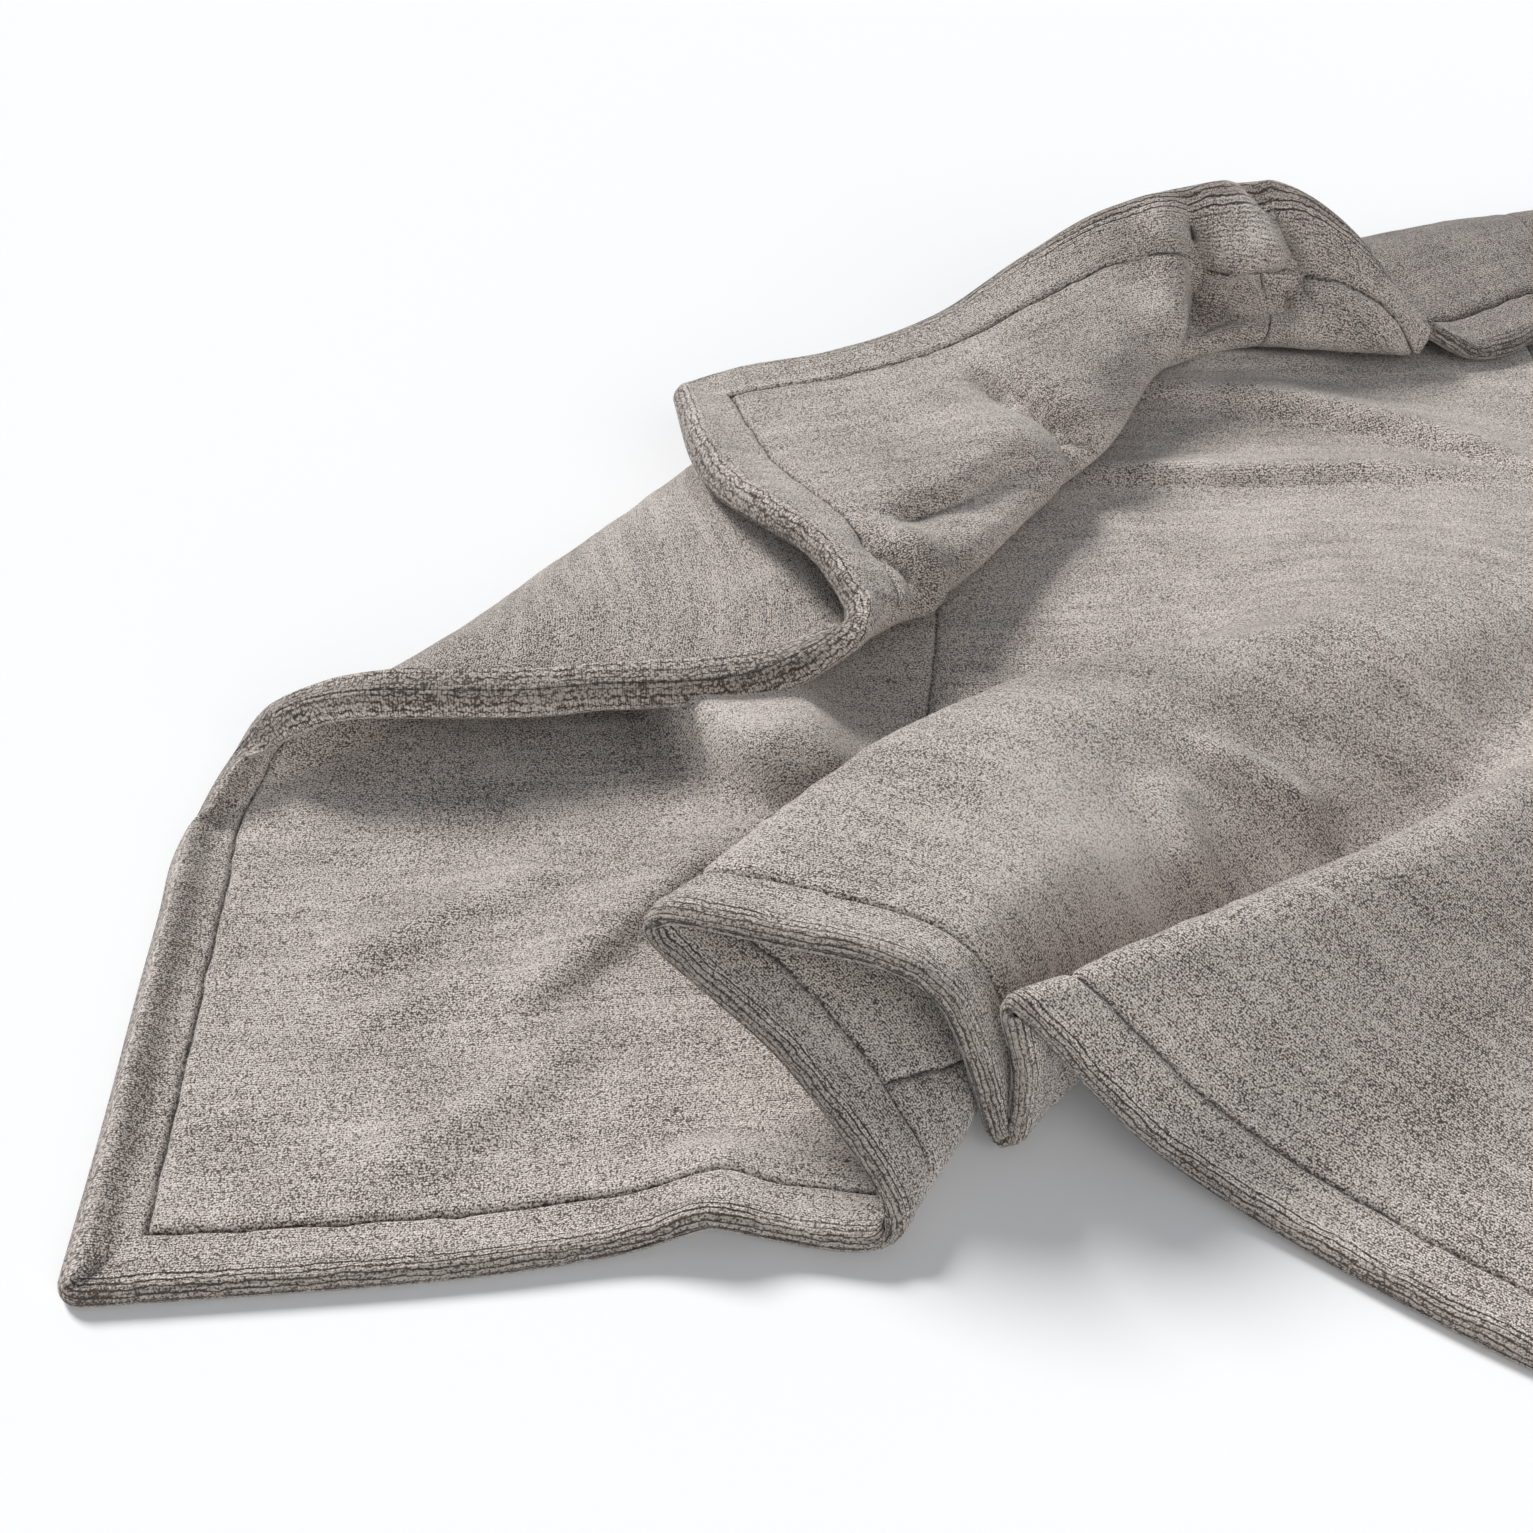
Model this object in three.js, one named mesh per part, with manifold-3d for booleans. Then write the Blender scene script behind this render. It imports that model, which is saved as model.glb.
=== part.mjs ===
// A drying towel of two loop-pile panels, sewn edge to edge, turned and topstitched, lying loosely folded.
// Millimetres, +Z up. The origin is under the middle of the towel, on the surface that it lies on.
import * as THREE from 'three';
import Module from 'manifold-3d';

const wasm = await Module();
wasm.setup();

// Cut size of the towel, measured flat
const clothLength = 900;
const clothWidth = 700;

// Build of the cloth
const panelThickness = 3;
const panelGap = 0.4;
const restCut = 0.5;

// Seams and stitching
const borderInset = 23;
const seamInset = 8;
const seamChannel = 1.4;
const grooveReach = 15;
const crossSpacing = 300;
const threadDiameter = 0.3;
const threadClearance = 0.8;
const sleeveClearance = 0.15;

// Share of a panel's thickness that is left under a stitch, at the rim's crest and at the very edge
const grooveShare = 0.5;
const rimShare = 1.12;
const edgeShare = 0.45;

// Share of a bend's radius that the pile on its inside fills at most, and the least pile that is left
const bendShare = 0.75;
const leastPile = 0.5;

// Lengths of cloth that a soft fold takes up, and the half height of the turned-back corner's fold
const foldApproach = 75;
const foldRun = 38;
const foldTopReach = 26;
const returnRun = 20;
const returnReach = 16;
const returnHalfHeight = 11;
const returnFullWidth = 30;
const narrowFlap = 12;

// Share of a narrow flap that its fold may take up
const flapShare = 0.4;

// Spacing of the mesh lines beside the folds, and the room that the last of them leave to the far border
const foldLine = 30;
const foldInnerLine = 12;
const returnLine = 16;
const farLines = [60, 54, 48];

// Half the height at which the middle of the cloth lies over the floor
const restHeight = panelThickness + panelGap / 2 - restCut;

// The towel before its far corner is folded over. One row is one thread line along the length, near edge
// first. A row gives the share of the width where it was cut, the share of its length that small wrinkles
// take up, and points [x, y, height] that it passes, as shares of the cut width: left edge, near panel,
// three turns of the pleat, small pleat, right end.
const rowShares = [
  { cut: 0, slack: 0, points: [
    [0, 0, 0], [0.169, 0.015, 0], [0.286, 0.032, 0.004], [0.357, 0.028, 0.009], [0.314, 0.093, 0.043],
    [0.246, 0.143, 0.085], [0.306, 0.121, 0.099], [0.374, 0.105, 0.083], [0.408, 0.081, 0.003],
    [0.413, 0.094, 0.041], [0.405, 0.1, 0.08], [0.476, 0.068, 0.022], [0.619, -0.031, 0],
    [0.857, -0.164, 0],
  ] },
  { cut: 0.086, slack: 0.01, points: [
    [-0.001, 0.086, 0], [0.173, 0.097, 0], [0.293, 0.111, 0], [0.397, 0.1, 0.012], [0.378, 0.145, 0.047],
    [0.31, 0.212, 0.087], [0.361, 0.207, 0.098], [0.425, 0.178, 0.077], [0.458, 0.138, 0.004],
    [0.475, 0.14, 0.045], [0.485, 0.141, 0.082], [0.566, 0.105, 0.03], [0.668, 0.043, 0],
    [0.901, -0.09, 0],
  ] },
  { cut: 0.2, slack: 0.04, points: [
    [-0.004, 0.2, 0], [0.174, 0.211, 0], [0.307, 0.217, 0], [0.424, 0.201, 0.01], [0.422, 0.235, 0.045],
    [0.373, 0.278, 0.082], [0.427, 0.278, 0.088], [0.496, 0.243, 0.049], [0.543, 0.2, 0.008],
    [0.565, 0.194, 0.042], [0.586, 0.196, 0.078], [0.663, 0.162, 0.03], [0.738, 0.129, 0.001],
    [0.96, 0.009, 0],
  ] },
  { cut: 0.336, slack: 0.08, points: [
    [-0.006, 0.336, 0], [0.174, 0.34, 0], [0.314, 0.343, 0.001], [0.468, 0.337, 0.004],
    [0.472, 0.345, 0.037], [0.479, 0.354, 0.068], [0.536, 0.345, 0.062], [0.61, 0.316, 0.032],
    [0.652, 0.286, 0.014], [0.676, 0.275, 0.042], [0.704, 0.273, 0.07], [0.76, 0.246, 0.029],
    [0.824, 0.214, 0.004], [1.05, 0.086, 0],
  ] },
  { cut: 0.457, slack: 0.045, points: [
    [-0.007, 0.457, 0], [0.171, 0.46, 0], [0.321, 0.46, 0], [0.536, 0.451, 0.016], [0.6, 0.443, 0.039],
    [0.65, 0.42, 0.054], [0.674, 0.401, 0.05], [0.7, 0.38, 0.031], [0.72, 0.366, 0.021],
    [0.752, 0.343, 0.041], [0.792, 0.315, 0.06], [0.851, 0.284, 0.03], [0.92, 0.25, 0.004],
    [1.143, 0.143, 0],
  ] },
  { cut: 0.629, slack: 0.03, points: [
    [-0.01, 0.629, 0], [0.169, 0.629, 0], [0.336, 0.629, 0], [0.571, 0.633, 0.001], [0.714, 0.62, 0.01],
    [0.814, 0.579, 0.027], [0.843, 0.561, 0.026], [0.867, 0.547, 0.019], [0.886, 0.536, 0.014],
    [0.914, 0.517, 0.023], [0.954, 0.493, 0.036], [1.017, 0.464, 0.016], [1.093, 0.429, 0.001],
    [1.321, 0.314, 0],
  ] },
  { cut: 0.857, slack: 0, points: [
    [-0.014, 0.857, 0], [0.164, 0.857, 0], [0.336, 0.86, 0], [0.5, 0.869, 0], [0.643, 0.889, 0],
    [0.771, 0.921, 0], [0.836, 0.936, 0], [0.886, 0.943, 0], [0.921, 0.946, 0], [0.957, 0.947, 0],
    [1, 0.946, 0], [1.071, 0.94, 0], [1.157, 0.926, 0], [1.4, 0.857, 0],
  ] },
  { cut: 1, slack: 0, points: [
    [-0.017, 1, 0], [0.157, 1, 0], [0.336, 1.003, 0], [0.5, 1.011, 0], [0.643, 1.031, 0],
    [0.771, 1.064, 0], [0.836, 1.079, 0], [0.886, 1.086, 0], [0.921, 1.089, 0], [0.957, 1.09, 0],
    [1, 1.089, 0], [1.071, 1.083, 0], [1.157, 1.069, 0], [1.4, 1, 0],
  ] },
];

// The fold that turns the far corner over. Each entry is [place along the length, place across the width
// where the cloth turns, x, y, height of the turn], as shares of the cut width.
const turnoverShares = [
  [0, 0.337, 0.017, 0.333, 0.024], [0.043, 0.369, 0.053, 0.363, 0.023], [0.086, 0.41, 0.096, 0.401, 0.02],
  [0.171, 0.521, 0.181, 0.514, 0.017], [0.286, 0.673, 0.296, 0.663, 0.017], [0.386, 0.757, 0.394, 0.754, 0.016],
  [0.471, 0.8, 0.474, 0.809, 0.016], [0.571, 0.821, 0.571, 0.846, 0.016], [0.657, 0.836, 0.657, 0.874, 0.017],
  [0.743, 0.846, 0.74, 0.909, 0.019], [0.874, 0.857, 0.869, 0.949, 0.019], [1.071, 0.866, 1.076, 0.96, 0.019],
  [1.286, 0.866, 1.286, 0.914, 0.019],
];

// The fold that brings the corner back again, in the same form. It runs out into the far edge on the right.
const returnShares = [
  [0, 0.714, 0.352, 0.416, 0.047], [0.086, 0.764, 0.417, 0.479, 0.041], [0.171, 0.821, 0.471, 0.56, 0.036],
  [0.257, 0.871, 0.531, 0.65, 0.033], [0.321, 0.914, 0.573, 0.746, 0.031], [0.386, 0.929, 0.623, 0.771, 0.03],
  [0.471, 0.936, 0.671, 0.759, 0.029], [0.571, 0.95, 0.727, 0.753, 0.026], [0.65, 0.994, 0.767, 0.754, 0.023],
  [0.743, 0.997, 0.81, 0.761, 0.021], [0.874, 0.997, 0.893, 0.8, 0.021], [1.071, 0.997, 1.086, 0.843, 0.021],
  [1.286, 0.997, 1.279, 0.814, 0.021],
];

// How far the hidden layer of the corner swings away behind the pinch, at its middle and at its last knot
// before the return fold: [place along the length, middle x, y, last knot x, y], as shares of the cut width.
const pinchShares = [
  [0, 0, 0, 0, 0], [0.386, 0, 0, 0, 0], [0.471, 0, 0.02, 0.01, 0.034], [0.571, 0, 0.03, 0.01, 0.05],
  [0.657, 0, 0.02, 0.01, 0.03], [0.714, 0, 0, 0, 0], [1.286, 0, 0, 0, 0],
];

// Where the far edge ends up: [place along the length, x, y, height], as shares of the cut width.
const farEdgeShares = [
  [0, 0.241, 0.663, 0.047], [0.05, 0.286, 0.684, 0.05], [0.111, 0.344, 0.694, 0.056],
  [0.174, 0.404, 0.719, 0.064], [0.269, 0.477, 0.781, 0.081], [0.326, 0.529, 0.811, 0.099],
  [0.374, 0.579, 0.817, 0.113], [0.429, 0.626, 0.83, 0.116], [0.493, 0.671, 0.821, 0.107],
  [0.55, 0.71, 0.8, 0.081], [0.6, 0.737, 0.771, 0.047], [0.65, 0.767, 0.759, 0.032],
  [0.7, 0.789, 0.751, 0.022], [0.743, 0.811, 0.757, 0.021], [0.8, 0.843, 0.78, 0.021],
  [0.874, 0.893, 0.796, 0.021], [1.071, 1.086, 0.839, 0.021], [1.286, 1.279, 0.81, 0.021],
];

// How far the left edge swings off the straight line between its folds, as shares of the cut width, at
// the four knots beyond the turnover, and the cloth that its wide turn takes up. The swing dies out over
// the given reach.
const leftSwing = {
  reach: 0.1,
  middle: [0, -0.011, 0.005],
  under: [-0.008, -0.023, 0.012],
  over: [-0.006, 0.015, -0.004],
  flap: [-0.026, 0, 0],
  run: 0.014,
};

// Where mesh lines cross the length between the near and the far stitching, as shares of the cut length.
// The second and the third third of the cloth start at a cross stitch.
const firstThirdShares = [0.18, 0.262, 0.288];
const secondThirdShares = [0.38, 0.41, 0.432, 0.452, 0.475, 0.507, 0.543, 0.57, 0.6];
const lastThirdShares = [0.8];

// Where they cross the width between the near stitching and the turnover, as shares of that stretch.
const nearStretchShares = [0.15, 0.33, 0.53, 0.76];

// A smooth curve through rows of numbers at uneven places, straight on past both ends.
function smoothAt(places, values, place) {
  const last = places.length - 1;
  const slopeOf = (k) => values[k + 1].map((value, n) => (value - values[k][n]) / (places[k + 1] - places[k]));
  if (place <= places[0]) {
    const start = slopeOf(0);
    return values[0].map((value, n) => value + start[n] * (place - places[0]));
  }
  if (place >= places[last]) {
    const end = slopeOf(last - 1);
    return values[last].map((value, n) => value + end[n] * (place - places[last]));
  }
  let k = 0;
  while (places[k + 1] < place) {
    k += 1;
  }
  const tangentAt = (knot) => {
    if (knot === 0) return slopeOf(0);
    if (knot === last) return slopeOf(last - 1);
    const before = places[knot] - places[knot - 1];
    const after = places[knot + 1] - places[knot];
    const left = slopeOf(knot - 1);
    const right = slopeOf(knot);
    return left.map((value, n) => (value * after + right[n] * before) / (before + after));
  };
  const span = places[k + 1] - places[k];
  const t = (place - places[k]) / span;
  const from = tangentAt(k);
  const to = tangentAt(k + 1);
  const startWeight = 2 * t ** 3 - 3 * t ** 2 + 1;
  const leaveWeight = t ** 3 - 2 * t ** 2 + t;
  const arriveWeight = t ** 3 - t ** 2;
  return values[k].map((value, n) => startWeight * value + leaveWeight * span * from[n]
    + (1 - startWeight) * values[k + 1][n] + arriveWeight * span * to[n]);
}

const distance = (a, b) => Math.hypot(a[0] - b[0], a[1] - b[1], a[2] - b[2]);
const between = (a, b, share) => a.map((value, n) => value + (b[n] - value) * share);

const rowCuts = rowShares.map((row) => row.cut);
const rowPoints = rowShares.map((row) => row.points.flat());
const rowSlacks = rowShares.map((row) => [row.slack]);
const samplesInRow = 600;

// The thread line that was cut at one place across the width, as points with their length along the cloth.
const rowLines = new Map();
function rowLine(across) {
  const key = across.toFixed(6);
  if (rowLines.has(key)) return rowLines.get(key);
  const flatRow = smoothAt(rowCuts, rowPoints, across / clothWidth);
  const knots = [];
  for (let n = 0; n < flatRow.length; n += 3) {
    knots.push([flatRow[n] * clothWidth, flatRow[n + 1] * clothWidth, flatRow[n + 2] * clothWidth]);
  }
  const pace = [0];
  for (let n = 1; n < knots.length; n += 1) {
    pace.push(pace[n - 1] + Math.sqrt(distance(knots[n], knots[n - 1])));
  }
  const drawnShare = 1 - smoothAt(rowCuts, rowSlacks, across / clothWidth)[0];
  const points = [];
  const lengths = [0];
  for (let n = 0; n <= samplesInRow; n += 1) {
    points.push(smoothAt(pace, knots, pace[pace.length - 1] * n / samplesInRow));
    if (n > 0) lengths.push(lengths[n - 1] + distance(points[n], points[n - 1]) / drawnShare);
  }
  const line = { points, lengths };
  rowLines.set(key, line);
  return line;
}

// The middle of the cloth before the corner is folded over, at rest height where it lies flat.
function spreadCloth(along, across) {
  const { points, lengths } = rowLine(across);
  const last = lengths.length - 1;
  let k = 0;
  while (k < last - 1 && lengths[k + 1] < along) {
    k += 1;
  }
  const [x, y, height] = between(points[k], points[k + 1], (along - lengths[k]) / (lengths[k + 1] - lengths[k]));
  return [x, y, Math.max(height, 0) + restHeight];
}

// One entry of a fold's table at any place along the length, in millimetres.
function foldAt(table, along) {
  const places = table.map((entry) => entry[0]);
  const values = table.map((entry) => entry.slice(1));
  return smoothAt(places, values, along / clothWidth).map((value) => value * clothWidth);
}

// Knots of one line across the width: up to the turnover, back under the return fold, and to the far edge.
function columnKnots(along) {
  const [turnCut, turnX, turnY, turnHeight] = foldAt(turnoverShares, along);
  const [returnCut, returnX, returnY, returnHeight] = foldAt(returnShares, along);
  const [farX, farY, farHeight] = foldAt(farEdgeShares, along);
  const turn = [turnX, turnY, restHeight + turnHeight];
  const back = [returnX, returnY, restHeight + returnHeight];
  const far = [farX, farY, restHeight + farHeight];
  const span = Math.hypot(returnX - turnX, returnY - turnY);
  const heading = [(returnX - turnX) / span, (returnY - turnY) / span];
  const fade = Math.max(0, 1 - along / (leftSwing.reach * clothWidth)) ** 2 * clothWidth;
  const swung = (point, steps) => point.map((value, n) => value + steps[n] * fade);
  const top = restHeight + 2 * turnHeight;
  const overTurn = [turnX + heading[0] * foldTopReach, turnY + heading[1] * foldTopReach, top];
  const cuts = [turnCut - foldApproach, turnCut - foldRun, turnCut, turnCut + foldRun];
  const points = [spreadCloth(along, cuts[0]), spreadCloth(along, cuts[1]), turn, overTurn];
  const flapWidth = clothWidth - returnCut;
  if (flapWidth > narrowFlap) {
    const half = returnHalfHeight * Math.min(1, flapWidth / returnFullWidth);
    const under = [returnX - heading[0] * returnReach, returnY - heading[1] * returnReach, back[2] - half];
    const wideRun = returnRun + leftSwing.run * fade;
    const run = Math.min(wideRun, flapWidth * flapShare);
    const reach = distance(back, far);
    const rise = Math.hypot(farX - returnX, farY - returnY);
    const step = Math.min(returnReach, rise * flapShare) / rise;
    const over = [
      returnX + (farX - returnX) * step,
      returnY + (farY - returnY) * step,
      back[2] + half + (far[2] - back[2] - half) * Math.min(1, returnReach / reach),
    ];
    cuts.push((turnCut + foldRun + returnCut - wideRun) / 2, returnCut - wideRun, returnCut);
    cuts.push(returnCut + run, (returnCut + run + clothWidth) / 2, clothWidth);
    const [middleX, middleY, lastX, lastY] = foldAt(pinchShares, along);
    const middle = between(overTurn, under, 0.5).map((value, n) => value + [middleX, middleY, 0][n]);
    const last = under.map((value, n) => value + [lastX, lastY, 0][n]);
    points.push(swung(middle, leftSwing.middle), swung(last, leftSwing.under), back);
    points.push(swung(over, leftSwing.over), swung(between(over, far, 0.5), leftSwing.flap), far);
  } else {
    cuts.push((turnCut + foldRun + clothWidth) / 2, clothWidth);
    points.push(between(overTurn, far, 0.5), far);
  }
  return { cuts, points };
}

function clothAt(knots, along, across) {
  if (across <= knots.cuts[0]) return spreadCloth(along, across);
  const [x, y, z] = smoothAt(knots.cuts, knots.points, across);
  return [x, y, Math.max(z, restHeight)];
}

// Mesh lines along the length. The stitched lines are among them.
const crossStitches = [crossSpacing, 2 * crossSpacing];
const ofLength = (share) => share * clothLength;
const alongLines = [
  0, seamInset, borderInset, borderInset + grooveReach, ...firstThirdShares.map(ofLength),
  crossStitches[0] - grooveReach, crossStitches[0], crossStitches[0] + grooveReach,
  ...secondThirdShares.map(ofLength),
  crossStitches[1] - grooveReach, crossStitches[1], crossStitches[1] + grooveReach,
  ...lastThirdShares.map(ofLength), clothLength - borderInset, clothLength - seamInset, clothLength,
];

// Mesh lines across the width at one place along it, which keep beside the folds.
function acrossLines(along) {
  const turnCut = foldAt(turnoverShares, along)[0];
  const returnCut = foldAt(returnShares, along)[0];
  const nearLine = borderInset + grooveReach;
  const approach = turnCut - foldLine;
  const nearStretch = nearStretchShares.map((share) => nearLine + (approach - nearLine) * share);
  const returns = [-returnLine, 0, returnLine];
  const returnLines = returns.map((step, n) => Math.min(returnCut + step, clothWidth - farLines[n]));
  return [
    0, seamInset, borderInset, nearLine, ...nearStretch,
    approach, turnCut - foldInnerLine, turnCut + foldInnerLine, turnCut + foldLine,
    (turnCut + foldLine + returnLines[0]) / 2, ...returnLines,
    clothWidth - nearLine, clothWidth - borderInset, clothWidth - seamInset, clothWidth,
  ];
}

const columns = alongLines.map((along) => {
  const knots = columnKnots(along);
  return acrossLines(along).map((across) => ({ along, across, middle: clothAt(knots, along, across) }));
});
const columnCount = columns.length;
const rowCount = columns[0].length;
const seamIndex = 1;
const borderIndex = 2;
const crossIndices = crossStitches.map((place) => alongLines.indexOf(place));

// How sharply three points bend, as one over the radius: above zero where the face is on the inside.
function bendOf(before, here, after, facing) {
  const middle = between(before, after, 0.5);
  const toMiddle = new THREE.Vector3(middle[0] - here[0], middle[1] - here[1], middle[2] - here[2]);
  return 8 * toMiddle.dot(facing) / distance(before, after) ** 2;
}

// The direction that the face of the cloth looks in at each crossing of the mesh lines.
columns.forEach((column, i) => column.forEach((spot, j) => {
  const left = columns[Math.max(i - 1, 0)][j].middle;
  const right = columns[Math.min(i + 1, columnCount - 1)][j].middle;
  const near = column[Math.max(j - 1, 0)].middle;
  const far = column[Math.min(j + 1, rowCount - 1)].middle;
  const alongStep = new THREE.Vector3(right[0] - left[0], right[1] - left[1], right[2] - left[2]);
  const acrossStep = new THREE.Vector3(far[0] - near[0], far[1] - near[1], far[2] - near[2]);
  spot.facing = alongStep.cross(acrossStep).normalize();
  const fromEdge = Math.min(i, j, columnCount - 1 - i, rowCount - 1 - j);
  const crossed = crossIndices.includes(i) && fromEdge >= borderIndex;
  spot.thicknessShare = [edgeShare, rimShare, grooveShare][fromEdge] ?? (crossed ? grooveShare : 1);
  spot.channel = fromEdge === seamIndex ? seamChannel : 0;
  spot.bends = [bendOf(left, spot.middle, right, spot.facing), bendOf(near, spot.middle, far, spot.facing)];
}));

// A point off the middle of the cloth, on the face side for side 1 and the back side for side -1.
function offMiddle(spot, side, height) {
  const point = new THREE.Vector3(...spot.middle).addScaledVector(spot.facing, side * height);
  point.z = Math.max(point.z, 0);
  return point;
}
const innerHeight = (spot) => panelGap / 2 + spot.channel;
function outerHeight(spot, side) {
  const sharpest = Math.max(...spot.bends.map((bend) => bend * side), Number.EPSILON);
  const room = Math.max(bendShare / sharpest, innerHeight(spot) + leastPile);
  return Math.min(panelGap / 2 + panelThickness * spot.thicknessShare, room);
}

function solidFrom(points, triangles) {
  const geometry = new THREE.BufferGeometry();
  geometry.setAttribute('position', new THREE.Float32BufferAttribute(points.flatMap((p) => [p.x, p.y, p.z]), 3));
  geometry.setIndex(triangles);
  geometry.computeVertexNormals();
  return geometry;
}

// One panel: its pile side, its ground side and the edge that joins them all round.
function panelGeometry(side) {
  const layer = (heightOf) => columns.flatMap((column) => (
    column.map((spot) => offMiddle(spot, side, heightOf(spot, side)))
  ));
  const pile = layer(outerHeight);
  const ground = layer(innerHeight);
  const points = [...pile, ...ground];
  const at = (i, j) => i * rowCount + j;
  const triangles = [];
  const addQuad = (a, b, c, d, flip) => {
    if (flip) triangles.push(a, c, b, a, d, c);
    else triangles.push(a, b, c, a, c, d);
  };
  for (let i = 0; i < columnCount - 1; i += 1) {
    for (let j = 0; j < rowCount - 1; j += 1) {
      const corners = [at(i, j), at(i + 1, j), at(i + 1, j + 1), at(i, j + 1)];
      addQuad(...corners, side < 0);
      addQuad(...corners.map((n) => n + pile.length), side > 0);
    }
  }
  const rim = [];
  for (let i = 0; i < columnCount - 1; i += 1) rim.push(at(i, 0));
  for (let j = 0; j < rowCount - 1; j += 1) rim.push(at(columnCount - 1, j));
  for (let i = columnCount - 1; i > 0; i -= 1) rim.push(at(i, rowCount - 1));
  for (let j = rowCount - 1; j > 0; j -= 1) rim.push(at(0, j));
  rim.forEach((start, n) => {
    const end = rim[(n + 1) % rim.length];
    addQuad(start, start + pile.length, end + pile.length, end, side < 0);
  });
  return solidFrom(points, triangles);
}

// A thread: a tube with a ring of points at each place of its path, closed into a loop or capped.
const threadSides = 5;
function threadGeometry(path, closed, diameter = threadDiameter) {
  const points = [];
  const triangles = [];
  const radius = diameter / 2;
  path.forEach((place, n) => {
    const before = closed ? path[(n + path.length - 1) % path.length] : path[Math.max(n - 1, 0)];
    const after = closed ? path[(n + 1) % path.length] : path[Math.min(n + 1, path.length - 1)];
    const heading = after.centre.clone().sub(before.centre).normalize();
    const sideways = heading.clone().cross(place.facing).normalize();
    const upward = sideways.clone().cross(heading).normalize();
    for (let k = 0; k < threadSides; k += 1) {
      const turn = 2 * Math.PI * k / threadSides;
      const point = place.centre.clone().addScaledVector(sideways, radius * Math.cos(turn));
      points.push(point.addScaledVector(upward, radius * Math.sin(turn)));
    }
  });
  const rings = closed ? path.length : path.length - 1;
  for (let n = 0; n < rings; n += 1) {
    const next = (n + 1) % path.length;
    for (let k = 0; k < threadSides; k += 1) {
      const a = n * threadSides + k;
      const b = n * threadSides + (k + 1) % threadSides;
      const c = next * threadSides + (k + 1) % threadSides;
      const d = next * threadSides + k;
      triangles.push(a, c, b, a, d, c);
    }
  }
  if (!closed) {
    const lastRing = (path.length - 1) * threadSides;
    for (let k = 1; k < threadSides - 1; k += 1) {
      triangles.push(0, k, k + 1, lastRing, lastRing + k + 1, lastRing + k);
    }
  }
  return solidFrom(points, triangles);
}

// Crossings of the mesh lines that a loop at a given line from the edge passes, once round.
function loopSpots(index) {
  const farColumn = columnCount - 1 - index;
  const farRow = rowCount - 1 - index;
  const spots = [];
  for (let i = index; i < farColumn; i += 1) spots.push(columns[i][index]);
  for (let j = index; j < farRow; j += 1) spots.push(columns[farColumn][j]);
  for (let i = farColumn; i > index; i -= 1) spots.push(columns[i][farRow]);
  for (let j = farRow; j > index; j -= 1) spots.push(columns[index][j]);
  return spots;
}
const crossSpots = (column) => columns[column].slice(borderIndex + 1, rowCount - 1 - borderIndex);

// Stitching lies on a panel, a clearance off its pile, and the seam runs between the panels.
const onPanel = (side) => (spot) => ({
  centre: offMiddle(spot, side, outerHeight(spot, side) + threadClearance + threadDiameter / 2),
  facing: spot.facing,
});
const inSeam = (spot) => ({ centre: new THREE.Vector3(...spot.middle), facing: spot.facing });

const faceSide = 1;
const backSide = -1;

// Every thread's name, with its path and whether it runs in a loop.
const threads = [
  { name: 'edge_seam_thread', path: loopSpots(seamIndex).map(inSeam), closed: true },
  { name: 'border_needle_thread', path: loopSpots(borderIndex).map(onPanel(faceSide)), closed: true },
  { name: 'border_bobbin_thread', path: loopSpots(borderIndex).map(onPanel(backSide)), closed: true },
];
crossIndices.forEach((column, n) => {
  const place = ['first', 'second'][n];
  const spots = crossSpots(column);
  threads.push({ name: `${place}_cross_needle_thread`, path: spots.map(onPanel(faceSide)), closed: false });
  threads.push({ name: `${place}_cross_bobbin_thread`, path: spots.map(onPanel(backSide)), closed: false });
});

// In tight bends a thread has pressed a way into the pile, so each panel is cut clear of every thread.
function asSolid(geometry) {
  const vertProperties = new Float32Array(geometry.getAttribute('position').array);
  const triVerts = new Uint32Array(geometry.getIndex().array);
  return new wasm.Manifold(new wasm.Mesh({ numProp: 3, vertProperties, triVerts }));
}
const sleeves = threads.map(({ path, closed }) => (
  asSolid(threadGeometry(path, closed, threadDiameter + 2 * sleeveClearance))
));
function clearOfThreads(geometry) {
  const cut = sleeves.reduce((panel, sleeve) => panel.subtract(sleeve), asSolid(geometry));
  const largest = cut.decompose().reduce((a, b) => (a.volume() > b.volume() ? a : b));
  const { vertProperties, triVerts } = largest.getMesh();
  const cleared = new THREE.BufferGeometry();
  cleared.setAttribute('position', new THREE.Float32BufferAttribute(vertProperties, 3));
  cleared.setIndex([...triVerts]);
  cleared.computeVertexNormals();
  return cleared;
}

const loopPile = (color) => new THREE.MeshStandardMaterial({ color, roughness: 0.95, metalness: 0 });
const sewingThread = (color) => new THREE.MeshStandardMaterial({ color, roughness: 0.7, metalness: 0 });

const towel = new THREE.Group();
const extent = new THREE.Box3();
function addPiece(name, geometry, material) {
  const mesh = new THREE.Mesh(geometry, material);
  mesh.name = name;
  towel.add(mesh);
  geometry.computeBoundingBox();
  extent.union(geometry.boundingBox);
}
addPiece('face_panel', clearOfThreads(panelGeometry(faceSide)), loopPile(0xa09a94));
addPiece('back_panel', clearOfThreads(panelGeometry(backSide)), loopPile(0x9a948e));
for (const { name, path, closed } of threads) {
  addPiece(name, threadGeometry(path, closed), sewingThread(0x5b5754));
}
const centre = extent.getCenter(new THREE.Vector3());
towel.position.set(-centre.x, -centre.y, 0);

export default towel;
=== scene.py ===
import math
from functools import partial

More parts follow.
